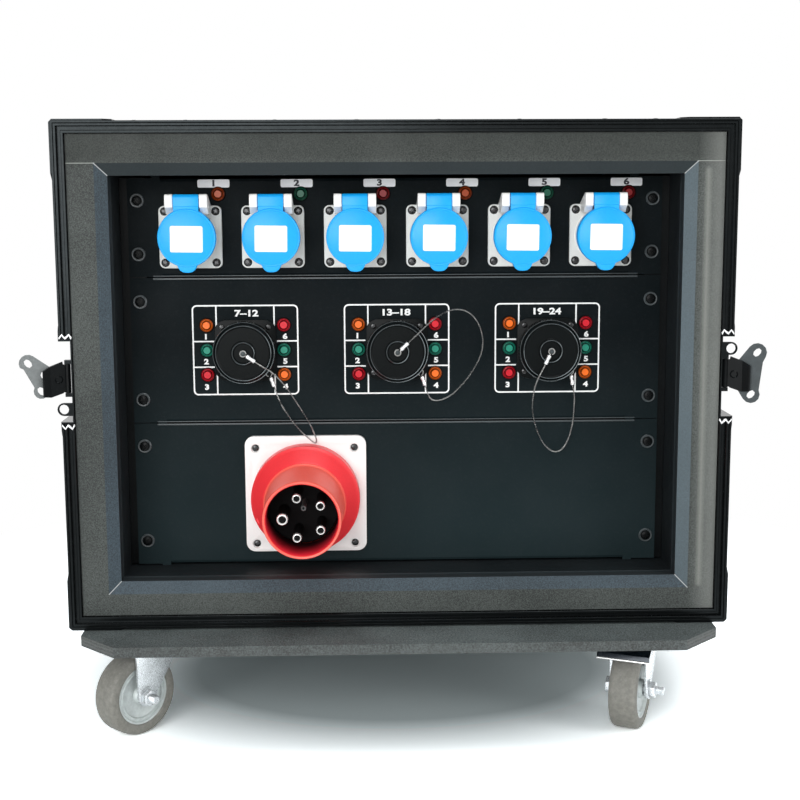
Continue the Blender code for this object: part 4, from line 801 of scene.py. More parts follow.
def lettering(text, size, weight, paint):
    """centred text lying in X and Y, base at Z = 0"""
    deselect()
    bpy.ops.object.text_add()
    line = bpy.context.object
    line.data.body = text
    line.data.size = size * MM
    line.data.align_x = "CENTER"
    line.data.align_y = "CENTER"
    line.data.offset = weight * MM
    line.data.extrude = LETTER_THICK * MM / 2
    line.data.resolution_u = 4
    bpy.ops.object.convert(target="MESH")
    return painted(moved(bpy.context.object, shift(0, 0, LETTER_THICK / 2)), paint)


# Sockets and lids
SOCKET_SCREW = 22.9
EAR = ((20.5, 0.9), (20.5, 24.0), (24.3, 27.5), (26.6, 32.6), (28.0, 33.0), (35.5, 33.0), (37.6, 32.0),
       (38.2, 30.2), (38.0, 27.0), (30.0, 4.4), (29.2, 0.9))
TAB_HALF = ((9.5, -22.6), (8.6, -24.4), (7.6, -26.6), (6.2, -28.5), (4.2, -29.9), (1.6, -30.4))


def socket_body():
    flange = eased(rounded_block(56.4, 55.9, 0.3, 4.3, 5), 0.7, 3, 60)
    barrel = turned([(0.0, 14.5), (19.3, 14.5), (19.5, 15), (19.5, 29.6), (20.2, 30.4), (22.1, 30.4),
                     (22.7, 29.7), (22.7, 6.0), (23.6, 4.4), (24.6, 4.1), (24.6, 1.0), (0.0, 1.0)], 64)
    ears = []
    for side in (-1, 1):
        ear = moved(cut_sheet(EAR, 11.45, 18.7), Matrix.Diagonal((side, 1, 1, 1)) @ SIDEWAYS)
        if side < 0:
            take(ear)
            edit()
            bpy.ops.mesh.select_all(action="SELECT")
            bpy.ops.mesh.flip_normals()
            done()
        ears.append(eased(ear, 0.7, 3, 50))
    # the flange's grey is partly painted shade from the lids
    return joined(painted(flange, FLANGE_WHITE), painted(joined(barrel, *ears), WHITE_MOULD))


def lid_shape():
    disc = turned([(0.0, 34.3), (22.9, 34.3), (23.4, 34.0), (23.9, 33.9), (24.2, 34.2), (24.8, 34.25),
                   (25.4, 33.8), (25.6, 33.0), (25.6, 26.3), (23.7, 26.3), (23.7, 32.2), (0.0, 32.2)], 96)
    tab = cut_sheet([(-x, y) for x, y in TAB_HALF] + [*reversed(TAB_HALF)], 27.0, 33.7)
    eased(tab, 0.7, 3, 50)
    knuckle = cut_sheet([(37.9, 28.4), (37.9, 31.6), (36.6, 33.4), (35.0, 34.0), (27.6, 34.1), (27.0, 33.6),
                         (20.8, 33.5), (20.8, 32.7), (26.9, 32.2), (28.2, 25.6), (32.7, 22.9),
                         (37.2, 25.5)], -11.1, 11.1)
    eased(moved(knuckle, SIDEWAYS), 0.5, 2, 45)
    return painted(joined(disc, tab, knuckle), BLUE_MOULD)


def make_sockets():
    body = socket_body()
    lid = lid_shape()
    plate = painted(eased(rounded_block(28.6, 23.0, 34.2, 34.55, 1.6, 6), 0.12, 2, 60), LABEL)
    moved(plate, shift(0, -1.0, 0) @ Matrix.Rotation(math.radians(-0.8), 4, "Z"))
    screw = screw_head(3.1, 1.6, SCREW_BLACK)
    cup = painted(turned([(0.0, 0.25), (3.2, 0.25), (3.8, 0.05), (0.0, 0.0)], 24), GAP_BLACK)
    fixing = joined(screw, cup)
    for number, (x, z) in enumerate(SOCKETS, 1):
        place = on_panel(x, z)
        settle(copied(body, place), f"socket_body_{number}", "case", "white_plastic", f"socket_{number}")
        settle(copied(lid, place), f"lid_{number}", f"socket_lid_{number}", "blue_plastic",
               f"socket_lid_{number}")
        settle(copied(plate, place), f"lid_label_{number}", f"socket_lid_{number}", "white_plastic")
        places = [place @ shift(cx * SOCKET_SCREW, cy * SOCKET_SCREW, 4.25)
                  @ Matrix.Rotation(0.7 * number + 9 * cx * SOCKET_SCREW, 4, "Z")
                  for cx in (-1, 1) for cy in (-1, 1)]
        settle(spread_out(copied(fixing), places), f"socket_screws_{number}", "case", "dark_steel")
    discard(body, lid, plate, fixing)


def make_number_plates():
    for number, (x, z) in enumerate(SOCKETS, 1):
        tag = painted(eased(rounded_block(28.8, 7.3, 0.05, 0.5, 1.6, 6), 0.2, 2, 60), LABEL)
        digit = lettering(str(number), 7.6, 0.34, INK)
        moved(digit, shift(0, 0, 0.49) @ Matrix.Diagonal((1.3, 1, 1, 1)))
        place = on_panel(x + 20.9 + 0.4 * number, STACK_TOP - 5.2)
        settle(moved(joined(tag, digit), place), f"number_plate_{number}", "case", "white_plastic")


# Lamps: their place off a socket's middle and under the stack's top, and off a receptacle's middle
SOCKET_LAMP = (25.2, 14.6)
GROUP_LAMP = 35
GROUP_LAMP_RISES = (23.0, 0.2, -22.4)


def make_lamps():
    bezel = painted(turned([(6.05, 1.2), (6.1, 1.7), (6.35, 1.8), (6.6, 1.2), (6.65, -0.2), (6.05, -0.2),
                            (6.05, 1.2)], 40), GAP_BLACK)
    lens = turned([(0.0, 3.7), (3.1, 3.7), (3.4, 3.5), (4.7, 1.7), (5.0, 1.6), (5.3, 2.1), (5.6, 2.3),
                   (5.9, 2.1), (6.05, 1.5), (6.05, 0.4), (0.0, 0.4)], 40)
    spots = {name: [] for name in LENSES}
    for number, (x, z) in enumerate(SOCKETS):
        colour = ("dim_orange", "dim_green", "dim_red")[number % 3]
        spots[colour].append(on_panel(x + SOCKET_LAMP[0], STACK_TOP - SOCKET_LAMP[1]))
    for x, z in GROUPS:
        for side, order in ((-1, ("orange", "green", "red")), (1, ("red", "green", "orange"))):
            for rise, colour in zip(GROUP_LAMP_RISES, order):
                spots[colour].append(on_panel(x + side * GROUP_LAMP, z + rise))
    every = [place for places in spots.values() for place in places]
    settle(spread_out(bezel, every), "lamp_bezels", "case", "black_plastic")
    for colour, places in spots.items():
        lamps = spread_out(copied(lens), places)
        settle(painted(lamps, LENSES[colour]), f"lamp_lenses_{colour}", "case", "red_plastic")
    discard(lens)


# Printed frames round the receptacles
PRINT_WIDE, PRINT_HIGH, PRINT_LINE = 96.5, 82.7, 1.3
PRINT_BASE, PRINT_THICK = 0.03, 0.12
TITLES = (("7–12", 1.2), ("13–18", -1), ("19–24", -1))


def printed_frame():
    deselect()
    bpy.ops.mesh.primitive_plane_add(size=1.0)
    outline = moved(bpy.context.object,
                    shift(0, 0, PRINT_BASE) @ Matrix.Diagonal((PRINT_WIDE * MM, PRINT_HIGH * MM, 1, 1)))
    edit()
    pick("verts", lambda v: True)
    bpy.ops.mesh.bevel(offset=4.5 * MM, segments=8, affect="VERTICES")
    pick("faces", lambda f: True)
    bpy.ops.mesh.inset(thickness=PRINT_LINE * MM)
    bpy.ops.mesh.delete(type="FACE")
    pick("faces", lambda f: True)
    bpy.ops.mesh.extrude_region_move(TRANSFORM_OT_translate={"value": (0, 0, PRINT_THICK * MM)})
    return done()


def printed_bars():
    reach, top, half_line = PRINT_WIDE / 2, PRINT_HIGH / 2, PRINT_LINE / 2
    spans = [(side * 26.3 - half_line, y0, side * 26.3 + half_line, y1)
             for side in (-1, 1) for y0, y1 in ((20.6, top - PRINT_LINE), (PRINT_LINE - top, -19.5))]
    for y in (8.15, -15.45):
        spans.append((PRINT_LINE - reach, y - half_line, -28.6, y + half_line))
        spans.append((28.6, y - half_line, reach - PRINT_LINE, y + half_line))
    return [block((x0, y0, PRINT_BASE), (x1, y1, PRINT_BASE + PRINT_THICK)) for x0, y0, x1, y1 in spans]


def make_prints():
    for number, ((x, z), (title, aside)) in enumerate(zip(GROUPS, TITLES), 1):
        outline = printed_frame()
        bars = printed_bars()
        words = [moved(lettering(title, 8.0, 0.3, PRINT),
                       shift(aside, 33.4, PRINT_BASE) @ Matrix.Diagonal((1.36, 1, 1, 1)))]
        for side, order in ((-1, "123"), (1, "654")):
            for y, digit in zip((12.2, -10.6, -34.0), order):
                words.append(moved(lettering(digit, 6.6, 0.32, PRINT),
                                   shift(side * 36, y, PRINT_BASE) @ Matrix.Diagonal((1.25, 1, 1, 1))))
        pieces = joined(*[painted(piece, PRINT) for piece in (outline, *bars, *words)])
        settle(moved(pieces, on_panel(x, z)), f"group_print_{number}", "case", "white_plastic")


# Receptacles and caps
ANCHOR = 21.2
RIBS = 60


def receptacle_shape():
    flange = eased(rounded_block(56, 56, 0.3, 2.8, 11), 0.5, 2, 60)
    neck = turned([(0.0, 9.0), (18.0, 9.0), (18.0, 21.4), (22.0, 21.4), (22.1, 11.9), (24.4, 11.7),
                   (25.0, 4.2), (26.4, 2.9), (26.4, 1.2), (0.0, 1.2)], 64)
    anchor = turned([(0.0, 6.8), (1.4, 6.8), (1.8, 6.3), (1.8, 2.6), (0.0, 2.6)], 20)
    moved(anchor, shift(ANCHOR, -ANCHOR, 0))
    return painted(joined(flange, neck, anchor), BLACK_MOULD)


def rib_face(face):
    """every other face round the cap's side"""
    centre = face.calc_center_median()
    step = int((math.atan2(centre.y, centre.x) / TURN * 2 * RIBS) % (2 * RIBS))
    return math.hypot(centre.x, centre.y) > 27.6 * MM and abs(face.normal.z) < 0.2 and step % 2 == 0


def cap_shape():
    cap = turned([(0.0, 27.0), (8.4, 27.0), (8.9, 27.4), (9.2, 28.6), (9.8, 29.0), (10.6, 28.6),
                  (10.9, 27.3), (11.4, 26.9), (22.8, 26.9), (23.4, 27.3), (24.2, 27.9), (25.0, 27.9),
                  (26.2, 26.9), (27.0, 25.4), (27.8, 24.8), (27.8, 13.6), (27.0, 12.6), (22.9, 12.6),
                  (22.9, 25.4), (0.0, 25.4)], RIBS * 2)
    take(cap)
    edit()
    pick("faces", rib_face)
    bpy.ops.mesh.inset(thickness=0.15 * MM, depth=-0.7 * MM, use_individual=True)
    done()
    smooth(cap, 30)
    rims = [turned([(radius - 0.55, out), (radius - 0.3, out + 0.35), (radius, out + 0.45),
                    (radius + 0.35, out + 0.25), (radius + 0.5, out - 0.2), (radius - 0.55, out - 0.3),
                    (radius - 0.55, out)], 96) for radius, out in ((9.8, 29.0), (24.6, 27.9), (27.4, 25.1))]
    post = turned([(0.0, 32.7), (1.0, 32.8), (1.9, 32.6), (2.1, 32.3), (1.5, 32.1), (1.5, 26.9),
                   (0.0, 26.9)], 24)
    return joined(painted(cap, BLACK_MOULD), painted(joined(*rims), RIM_BLACK), painted(post, LATCH_SLATE))


# Each lanyard's points: across, out of the panel, up, from its receptacle's middle
ROUTES = (
    ((16.2, 31.2, -11.1), (24.3, 30.2, -16.1), (30.0, 28.4, -21.6), (35.5, 26.0, -28.3),
     (41.4, 23.5, -37.1), (46.8, 21.2, -46.0), (52.1, 19.0, -55.0), (58.3, 16.5, -66.5),
     (61.6, 15.0, -74.5), (63.6, 13.6, -80.6), (63.4, 12.2, -83.8), (61.2, 11.0, -84.2),
     (56.6, 9.8, -80.6), (51.0, 9.0, -75.6), (43.2, 8.2, -66.8), (36.4, 7.2, -56.8),
     (31.2, 6.6, -48.2)),
    ((17.6, 31.4, 16.4), (24.4, 31.4, 23.0), (33.0, 31.0, 30.2), (44.1, 29.0, 36.4),
     (54.6, 26.8, 38.0), (63.6, 25.0, 35.2), (70.6, 22.8, 28.4), (75.4, 20.6, 18.6),
     (77.4, 18.0, 7.0), (75.8, 16.0, -3.6), (71.6, 14.2, -13.6), (65.4, 12.6, -23.8),
     (58.4, 11.2, -32.6), (51.0, 9.8, -40.2), (43.6, 8.4, -45.0), (36.0, 7.2, -47.0),
     (29.8, 6.3, -44.4)),
    ((-8.6, 31.3, -17.8), (-11.8, 30.6, -24.4), (-14.2, 28.6, -32.0), (-15.5, 25.2, -41.5),
     (-15.5, 20.8, -52.6), (-13.4, 16.8, -65.0), (-9.0, 13.2, -77.6), (-3.2, 10.6, -87.8),
     (3.4, 8.6, -94.2), (9.8, 7.2, -95.6), (15.4, 6.0, -92.2), (19.6, 5.2, -84.8),
     (22.5, 4.8, -75.7), (24.2, 4.7, -65.9), (24.9, 4.8, -54.6), (25.1, 5.0, -44.6)))
STRAND_POINTS = 12
# Radius and lay length of the wire, in metres
WIRE_RADIUS = 0.75 * MM
LAY_LENGTH = 4.2 * MM
# Eyes and sleeves at the wire's ends
EYE_RADIUS = 2.6
EYE_OUT = 31.4
EYE_IN = 5.4
SLEEVE_SPAN = (3.9, 12.6)


def eye_path(x, y, out, heading, way):
    """the wire's loop round a post, then its straight run through the crimped sleeve"""
    bend = [math.radians(heading + way * angle) for angle in (30, 75, 120, 165, 210, 255, 300, 338)]
    spots = [(EYE_RADIUS, angle) for angle in bend] + [(s, math.radians(heading)) for s in SLEEVE_SPAN]
    return [Vector(((x + far * math.cos(angle)) * MM, (y + far * math.sin(angle)) * MM, out * MM))
            for far, angle in spots]


def smooth_path(points, pieces):
    """points on a curve through the given ones"""
    found = []
    for i in range(len(points) - 1):
        before = points[max(i - 1, 0)]
        a, b = points[i], points[i + 1]
        after = points[min(i + 2, len(points) - 1)]
        for k in range(pieces):
            t = k / pieces
            found.append(0.5 * ((2 * a) + (b - before) * t + (2 * before - 5 * a + 4 * b - after) * t ** 2
                                + (3 * a - before - 3 * b + after) * t ** 3))
    return found + [points[-1]]


def linked_curve(name, dimensions, count):
    """a curve object with one straight spline of so many points"""
    curve = bpy.data.curves.new(name, "CURVE")
    curve.dimensions = dimensions
    spline = curve.splines.new("POLY")
    spline.points.add(count - 1)
    made = bpy.data.objects.new(name, curve)
    bpy.context.scene.collection.objects.link(made)
    return made, spline


def wire_shape(path):
    """twisted strands along a path, as a star section that turns once in each lay length"""
    outline, lobes = linked_curve("strands", "2D", STRAND_POINTS)
    for k, point in enumerate(lobes.points):
        reach = WIRE_RADIUS * (1.0 if k % 4 in (0, 1) else 0.80)
        angle = TURN * k / STRAND_POINTS
        point.co = (reach * math.cos(angle), reach * math.sin(angle), 0, 1)
    lobes.use_cyclic_u = True
    rope, spline = linked_curve("wire", "3D", len(path))
    rope.data.bevel_mode = "OBJECT"
    rope.data.bevel_object = outline
    rope.data.use_fill_caps = True
    travelled = 0.0
    for k, point in enumerate(spline.points):
        point.co = (*path[k], 1.0)
        if k:
            travelled += (path[k] - path[k - 1]).length
        point.tilt = travelled / LAY_LENGTH * TURN
    take(rope)
    bpy.ops.object.convert(target="MESH")
    rope = bpy.context.object
    discard(outline)
    edit()
    bpy.ops.mesh.select_all(action="SELECT")
    bpy.ops.mesh.remove_doubles(threshold=0.000001)
    bpy.ops.mesh.normals_make_consistent(inside=False)
    return painted(smooth(done(), 60), WIRE)


def make_lanyard(number, place, route):
    inner = [Vector((across, up, out)) * MM for across, out, up in route]
    first = math.degrees(math.atan2(inner[0].y, inner[0].x))
    last = math.degrees(math.atan2(inner[-1].y + ANCHOR * MM, inner[-1].x - ANCHOR * MM))
    start = eye_path(0.0, 0.0, EYE_OUT, first, 1)
    end = eye_path(ANCHOR, -ANCHOR, EYE_IN, last, -1)
    path = smooth_path([place @ p for p in start + inner + end[::-1]], 6)
    rope = settle(wire_shape(path), f"wire_{number}", "case", "wire_steel", f"lanyard_{number}")
    for label, (near, far) in (("cap", start[-2:]), ("anchor", end[-2:])):
        long = (far - near).length / MM
        sleeve = turned([(0.9, 0.0), (1.7, 0.0), (1.88, 0.5), (1.88, 2.6), (1.6, 3.2), (1.6, 5.2),
                         (1.88, 5.8), (1.88, long - 0.5), (1.7, long), (0.9, long), (0.9, 0.0)], 24)
        along = (place @ far - place @ near).normalized()
        turn = along.to_track_quat("Z", "Y").to_matrix().to_4x4()
        moved(sleeve, Matrix.Translation(place @ near) @ turn)
        settle(painted(sleeve, CRIMP), f"crimp_{label}_{number}", "case", "wire_steel")


def make_receptacles():
    body = receptacle_shape()
    cap = cap_shape()
    screw = screw_head(2.7, 1.3, SCREW_BLACK)
    for number, (x, z) in enumerate(GROUPS, 1):
        place = on_panel(x, z)
        settle(copied(body, place), f"receptacle_body_{number}", "case", "black_plastic",
               f"receptacle_{number}")
        settle(copied(cap, place), f"screw_cap_{number}", f"cap_{number}", "black_plastic", f"cap_{number}")
        corners = [place @ shift(sx * ANCHOR, sy * ANCHOR, 2.75) for sx, sy in ((-1, -1), (-1, 1), (1, 1))]
        settle(spread_out(copied(screw), corners), f"receptacle_screws_{number}", "case", "dark_steel")
        make_lanyard(number, place, ROUTES[number - 1])
    discard(body, cap, screw)


# Inlet: what is moved off the CAD's middle, and its pins by angle and relative width
PLATE_SHIFT = (0.5, 1.0, 0)
HOOD_SHIFT = (0.4, -1.6, 0)
PIN_SHIFT = (1.6, -0.7, 0)
PIN_CIRCLE = 18.2
PINS = ((108, 1.0), (36, 1.0), (-36, 1.0), (-108, 1.0), (183, 1.25))


def inlet_plate(corners):
    flange = moved(rounded_block(111.4, 108.4, 0.3, 5.3, 8.5, 10), shift(*PLATE_SHIFT))
    carve(flange, turned([(0.0, 12), (40, 12), (40, -5), (0.0, -5)], 96))
    for x, y in corners:
        well = turned([(0.0, 12), (4.0, 12), (4.0, 3.0), (0.0, 3.0)], 24)
        carve(flange, moved(well, shift(x, y, 0)))
    return painted(eased(flange, 0.7, 3, 60), WHITE_MOULD)


def inlet_hood():
    shroud = turned([(39.0, 30), (36.9, 36.6), (37.6, 36.9), (38.4, 36.2), (46.6, 22.6), (48.6, 20.8),
                     (49.6, 19.9), (49.9, 18.6), (49.9, 5.7), (39.2, 5.7), (39.2, 1), (37.0, 1),
                     (39.0, 30)], 128)
    bore = turned([(31.2, 56), (31.2, 99.4), (31.5, 100.2), (31.9, 99.4), (31.9, 56), (31.2, 56)], 128)
    tube = turned([(31.6, 60), (31.6, 100.0), (32.1, 100.9), (33.0, 101.2), (33.8, 100.7), (34.2, 99.4),
                   (34.3, 95), (35.5, 41.5), (36.0, 39.8), (37.3, 38.6), (37.3, 30), (31.6, 30),
                   (31.6, 60)], 128)
    lug = turned([(0.0, 22.3), (3.6, 22.3), (4.3, 21.6), (4.5, 12), (0.0, 12)], 32)
    moved(lug, shift(-41.0, -17.8, 0))
    return joined(painted(shroud, RED_MOULD), painted(tube, SHEENED_RED_TUBE), painted(bore, RED_BORE),
                  painted(lug, RED_MOULD))


def inlet_core():
    core = turned([(0.0, 58.0), (30.2, 58.0), (31.0, 58.6), (31.1, 60.6), (31.2, 58.0), (31.2, 30),
                   (0.0, 30)], 96)
    pilot = turned([(0.9, 60), (1.1, 88.6), (1.7, 89.2), (2.3, 88.6), (2.4, 57), (0.9, 57), (0.9, 60)], 32)
    moved(pilot, shift(1.6, 6.3, 0))
    parts = [painted(core, CORE_BLACK), painted(pilot, LATCH_GREY)]
    for angle, wide in PINS:
        spot = shift(*PIN_SHIFT) @ Matrix.Rotation(math.radians(angle), 4, "Z") @ shift(PIN_CIRCLE, 0, 0)
        tip = [(2.5, 94.0), (2.5, 96.2), (2.9, 96.9), (3.5, 96.8), (4.0, 96.0), (4.05, 94.0), (2.5, 94.0)]
        # painted shade: the pin shafts take the carrier's black deep in the bore, and only the tips are
        # nickel
        shaft = [(0.0, 95.2), (2.6, 95.2), (4.0, 94.2), (4.0, 57), (0.0, 57)]
        for profile, steps, paint in ((tip, 40, NICKEL), (shaft, 32, CORE_BLACK)):
            pin = turned([(radius * wide, height) for radius, height in profile], steps)
            parts.append(moved(painted(pin, paint), spot))
    return joined(*parts)


def make_inlet():
    place = on_panel(*INLET)
    corners = [(sx * 45.4, sy * 45.0 - 1.0) for sx in (-1, 1) for sy in (-1, 1)]
    settle(moved(inlet_plate(corners), place), "inlet_plate", "case", "white_plastic", "inlet_flange")
    spots = [place @ shift(x, y, 3.0) @ Matrix.Rotation(x * MM * 40, 4, "Z") for x, y in corners]
    settle(spread_out(screw_head(3.3, 1.9, SCREW_BLACK), spots), "inlet_screws", "case", "dark_steel")
    settle(moved(inlet_hood(), place @ shift(*HOOD_SHIFT)), "inlet_hood", "case", "red_plastic",
           "inlet_shroud")
    settle(moved(inlet_core(), place), "inlet_core", "case", "black_plastic", "inlet_pins")


# Casters: half profiles of hub and tread, mirrored about the wheel's middle
HUB_HALF = ((5.3, 12.6), (7.5, 12.6), (8.2, 11.6), (9.4, 9.0), (19.0, 8.4), (21.2, 9.2), (22.0, 10.9),
            (23.4, 10.9), (23.9, 10.2), (24.8, 10.2), (25.4, 11.4), (26.6, 11.6), (27.4, 11.6))
TREAD_HALF = ((27.2, 11.7), (28.0, 12.6), (29.4, 12.95), (33.4, 12.9), (35.6, 12.2), (36.9, 10.4),
              (37.45, 7.6), (37.5, 3.0))
FORK_IN = 15.0
FORK_OUT = 17.5
FORK_SHEET = 2.5
FORK_TIP = 9


def mirrored_ring(half, steps, paint):
    low = [(radius, -height) for radius, height in reversed(half)]
    return painted(turned([*half, *low, half[0]], steps), paint)


def make_wheels():
    hub = mirrored_ring(HUB_HALF, 72, HUB)
    tyre = mirrored_ring(TREAD_HALF, 96, TYRE)
    for name in CASTERS:
        body = f"caster_wheel_{name}"
        turn = Vector(JOINTS[body]["axis"]).to_track_quat("Z", "Y").to_matrix().to_4x4()
        place = Matrix.Translation(JOINTS[body]["pos_m"]) @ turn
        settle(copied(tyre, place), f"tyre_{name}", body, "grey_rubber", body)
        settle(copied(hub, place), f"hub_{name}", body, "zinc_steel")
    discard(hub, tyre)


def caster_turn(name):
    """swivel and hub in metres, the trail, and the turn that takes local Y straight ahead"""
    swivel = Vector(JOINTS[f"caster_fork_{name}"]["pos_m"])
    hub = Vector(JOINTS[f"caster_wheel_{name}"]["pos_m"])
    ahead = Vector((swivel.x - hub.x, swivel.y - hub.y, 0))
    trail = ahead.length / MM
    ahead.normalize()
    up = Vector((0, 0, 1))
    return swivel, hub, trail, Matrix((ahead.cross(up), ahead, up)).transposed().to_4x4()


def fork_legs(crown_top, crown_low, trail, axle_z):
    """two legs folded down from a crown, round at their tips"""
    tip = [math.radians(180 + 145 * k / 14) for k in range(15)]
    outline = [(15.5, crown_low - 5), (15.5, crown_top), (-37.5, crown_top), (-37.5, crown_low - 6),
               *[(FORK_TIP * math.cos(a) - trail, axle_z + FORK_TIP * math.sin(a)) for a in tip]]
    legs = moved(cut_sheet(outline, -FORK_OUT, FORK_OUT), SIDEWAYS)
    bevel_edges(legs, 4.5, 6, lambda e: all(
        v.co.z > (crown_top - 0.1) * MM and abs(v.co.x) > (FORK_OUT - 0.1) * MM for v in e.verts))
    slot = block((-FORK_IN, -60, 0), (FORK_IN, 30, crown_low))
    bevel_edges(slot, 2.2, 5, lambda e: all(v.co.z > (crown_low - 0.1) * MM for v in e.verts)
                and abs(e.verts[0].co.x - e.verts[1].co.x) < 0.1 * MM)
    return eased(carve(legs, slot), 0.4, 2, 45)


def fork_shape(crown_top, trail, axle_z):
    """pressed fork with its bearing crown and its axle bolt"""
    crown_low = crown_top - FORK_SHEET
    legs = fork_legs(crown_top, crown_low, trail, axle_z)
    crown = turned([(9, crown_top + 0.1), (9, crown_low), (24.4, crown_low), (24.9, crown_low + 0.6),
                    (24.9, crown_top - 0.5), (24.2, crown_top + 0.1), (9, crown_top + 0.1)], 48)
    parts = [legs, crown]
    across = shift(0, -trail, axle_z) @ quarter("Y")
    hexagon = [(7.8 * math.cos(TURN * k / 6), 7.8 * math.sin(TURN * k / 6)) for k in range(6)]
    for low, high in ((FORK_OUT + 0.9, FORK_OUT + 6.4), (-FORK_OUT - 5, -FORK_OUT - 0.6)):
        parts.append(moved(eased(cut_sheet(hexagon, low, high), 0.55, 3, 40), across))
    washer = [(4.2, 0.1), (4.2, 0.9), (9.0, 0.9), (9.3, 0.1), (4.2, 0.1)]
    rod = [(0.0, 14), (3.0, 14)]
    for k in range(6):
        rod += [(4.1, 13.2 - 1.2 * k), (3.5, 12.6 - 1.2 * k)]
    rod += [(4.0, -2 * FORK_OUT - 0.6), (0.0, -2 * FORK_OUT - 0.6)]
    for profile in (washer, rod):
        parts.append(moved(turned([(radius, FORK_OUT + height) for radius, height in profile], 32), across))
    return painted(joined(*parts), ZINC)


def make_forks():
    for name in CASTERS:
        fork_node = f"caster_fork_{name}"
        swivel, hub, trail, turn = caster_turn(name)
        shape = fork_shape(high_end(fork_node, "z"), trail, hub.z / MM)
        place = Matrix.Translation((swivel.x, swivel.y, 0)) @ turn
        settle(moved(shape, place), f"fork_{name}", fork_node, "zinc_steel", fork_node)


def make_pedal_lips():
    """chrome lip of each brake pedal"""
    for name in ("front_right", "rear_left"):
        body = f"brake_pedal_{name}"
        lip = eased(block((-24.4, -35.8, -7.4), (24.4, -33.6, -5.6)), 0.8, 4)
        place = Matrix.Translation(JOINTS[body]["pos_m"]) @ caster_turn(name)[3]
        settle(painted(moved(lip, place), NICKEL), f"pedal_lip_{name}", body, "zinc_steel")


# Rack screws in the panel ears, and the folded edges of the rack panels with painted highlights
RACK_SCREW_X = 232.6
RACK_SCREW_DROPS = (20.0, 68.0, 111.0, 200.5, 243.7, 333.0)
SEAMS = (STACK_TOP - 88.9, STACK_TOP - 222.25)
FOLD_HALF = 220.2
COVER_X = 215.5


def make_rack_screws():
    screw = moved(screw_head(4.5, 2.2, LATCH_BLACK), shift(0, 0, 0.45))
    # the washer ring is drawn lighter than the screw as a painted highlight
    washer = painted(turned([(0.0, 0.4), (4.7, 0.4), (5.0, 0.9), (5.8, 1.0), (6.3, 0.6), (6.4, 0.05),
                             (0.0, 0.05)], 32), SHEEN_COAT)
    places = [on_panel(side * RACK_SCREW_X, STACK_TOP - drop) @ Matrix.Rotation(0.4 * k + side, 4, "Z")
              for side in (-1, 1) for k, drop in enumerate(RACK_SCREW_DROPS)]
    settle(spread_out(joined(screw, washer), places), "rack_screws", "case", "dark_steel")


def panel_strip(x0, z0, x1, z1, height, width, segments, angle, paint):
    """a flat bar on the rack panels, with eased edges"""
    bar = block((x0, PANEL_Y - height, z0), (x1, PANEL_Y - 0.02, z1))
    return painted(eased(bar, width, segments, angle), paint)


def make_folds():
    bars = []
    for z in SEAMS:
        # the beads beside each seam carry painted highlights of the rounded fold edges
        for low, high in ((-2.3, -0.75), (0.75, 1.6)):
            bars.append(panel_strip(-FOLD_HALF, z + low, FOLD_HALF, z + high, 0.55, 0.35, 3, 40, SHEEN_COAT))
        bars.append(panel_strip(-FOLD_HALF, z - 0.9, FOLD_HALF, z + 0.9, 0.12, 0.02, 1, 40, GAP_BLACK))
    settle(joined(*bars), "panel_folds", "case", "black_panel")
    covers = [panel_strip(side * COVER_X - 4, z - 6, side * COVER_X + 4, z + 6, 0.16, 0.04, 1, 40,
                          PANEL_COAT)
              for z in (STACK_TOP - 4, *SEAMS, low_end("inlet_panel", "z") + 4) for side in (-1, 1)]
    settle(joined(*covers), "fold_corners", "case", "black_panel")


# Rivets and screws on the case, and the raw aluminium of the track's cut ends
TRIM_INSET = 12
RIVET_HEIGHTS = (180, 250, 320, 390, 460)
DISH_INSET = 6.5


def side_place(side, outer):
    """local Z out of the case's side; a point (y, z) on it lies at shift(-side * z, y, 0)"""
    return shift(outer, 0, 0) @ quarter("Y", side)


def make_rivets():
    large = painted(turned([(0.0, 1.3), (1.6, 1.2), (3.0, 0.8), (4.0, 0.0), (0.0, -0.1)], 20), ANODISED)
    places = [shift(x, y, TRACK_TOP) for x in (-225, -181, -105, -35, 35, 105, 179, 223)
              for y in (FRONT_Y + 13, 214)]
    settle(spread_out(large, places), "top_rivets", "case", "black_aluminium")
    small = painted(turned([(0.0, 1.1), (1.4, 1.0), (2.6, 0.6), (3.3, 0.0), (0.0, -0.2)], 16), ANODISED)
    edges = (CASE_BASE + TRIM_INSET, CASE_TOP - TRIM_INSET)
    spots = [(y, z) for y in (-150, -80, -10, 60, 130, 190) for z in edges]
    spots += [(213, z) for z in RIVET_HEIGHTS]
    for side, word in SIDES_OF_CASE:
        face = side_place(side, side * high_end("edge_trim", "x"))
        settle(spread_out(copied(small), [face @ shift(-side * z, y, 0) for y, z in spots]),
               f"side_rivets_{word}", "case", "black_aluminium")
    back = shift(0, high_end("edge_trim", "y"), 0) @ quarter("X", -1)
    spots = [(x, z) for x in (-205, -123, -41, 41, 123, 205) for z in edges]
    spots += [(side * 281, z) for side in (-1, 1) for z in RIVET_HEIGHTS]
    settle(spread_out(small, [back @ shift(x, -z, 0) for x, z in spots]),
           "back_rivets", "case", "black_aluminium")


def make_dish_screws():
    head = screw_head(2.6, 1.2, SCREW_BLACK)
    for side, word in SIDES_OF_CASE:
        for kind in ("handle_dish", "latch_dish"):
            dish = f"{kind}_{word}"
            face = side_place(side, high_end(dish, "x") if side > 0 else low_end(dish, "x"))
            ends = [high_end(dish, "y") - DISH_INSET]
            if kind == "handle_dish":
                ends.insert(0, low_end(dish, "y") + DISH_INSET)
            spots = [face @ shift(-side * z, y, 0) for y in ends
                     for z in (low_end(dish, "z") + DISH_INSET, high_end(dish, "z") - DISH_INSET)]
            settle(spread_out(copied(head), spots), f"{kind}_screws_{word}", "case", "dark_steel")
    discard(head)


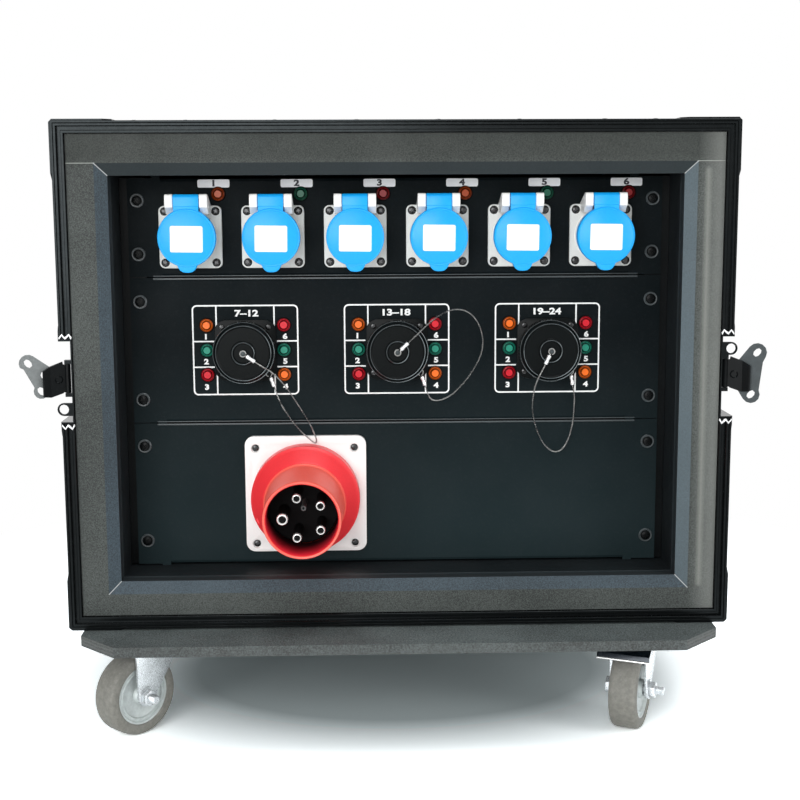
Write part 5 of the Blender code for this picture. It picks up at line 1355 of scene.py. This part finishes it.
def make_cut_ends():
    """the saw left bright teeth where the track stops at the latches"""
    teeth = ((1.6, 0.2), (4.2, 3.4), (6.6, 0.3), (8.0, 1.2), (10.2, 3.5), (11.9, 0.2), (12.4, 1.9),
             (10.3, 5.2), (7.6, 2.9), (6.5, 2.2), (4.3, 5.1), (1.5, 2.0))
    front, outer = low_end("lid_track_upper", "y"), high_end("lid_track_upper", "x")
    for side, word in SIDES_OF_CASE:
        ends = []
        for z, way in ((low_end("lid_track_upper", "z"), 1), (high_end("lid_track_lower", "z"), -1)):
            end = eased(cut_sheet([(-side * x, y * way) for x, y in teeth], -2.4, 0.25), 0.1, 2, 50)
            ends.append(moved(end, shift(side * outer, front, z) @ quarter("X")))
        settle(painted(joined(*ends), BARE_CUT), f"cut_ends_{word}", "case", "black_aluminium")


def dress_frame():
    """finishes for the CAD nodes that show"""
    paints = {
        FACE: ("face_frame",),
        INSIDE: ("inner_sleeve",),
        SIDES: ("case_top", "case_bottom", "case_back", "case_left", "case_right"),
        BOARD: ("wheel_board",),
        ANODISED: ("lid_track_upper", "lid_track_lower", "edge_trim", "latch_dish_left",
                   "latch_dish_right", "handle_dish_left", "handle_dish_right"),
        PANEL_COAT: ("outlet_panel", "multipin_panel", "inlet_panel"),
        LATCH_BLACK: ("rack_rail_left", "rack_rail_right", "latch_arm_left", "latch_arm_right",
                      "handle_bail_left", "handle_bail_right"),
        # lit and shaded copies for the one wing part: painted light on the left, painted shade on the right
        LATCH_GREY: ("latch_wing_left",),
        LATCH_SLATE: ("latch_wing_right",),
        PEDAL: ("brake_pedal_front_right", "brake_pedal_rear_left")}
    for paint, names in paints.items():
        for name in names:
            painted(frame["nodes"][name], paint)


set_camera()
set_light()
dress_frame()
make_receptacles()
make_sockets()
make_number_plates()
make_lamps()
make_prints()
make_inlet()
make_wheels()
make_forks()
make_pedal_lips()
make_folds()
make_rack_screws()
make_rivets()
make_dish_screws()
make_cut_ends()
set_floor()

bpy.context.scene.view_settings.view_transform = "Standard"
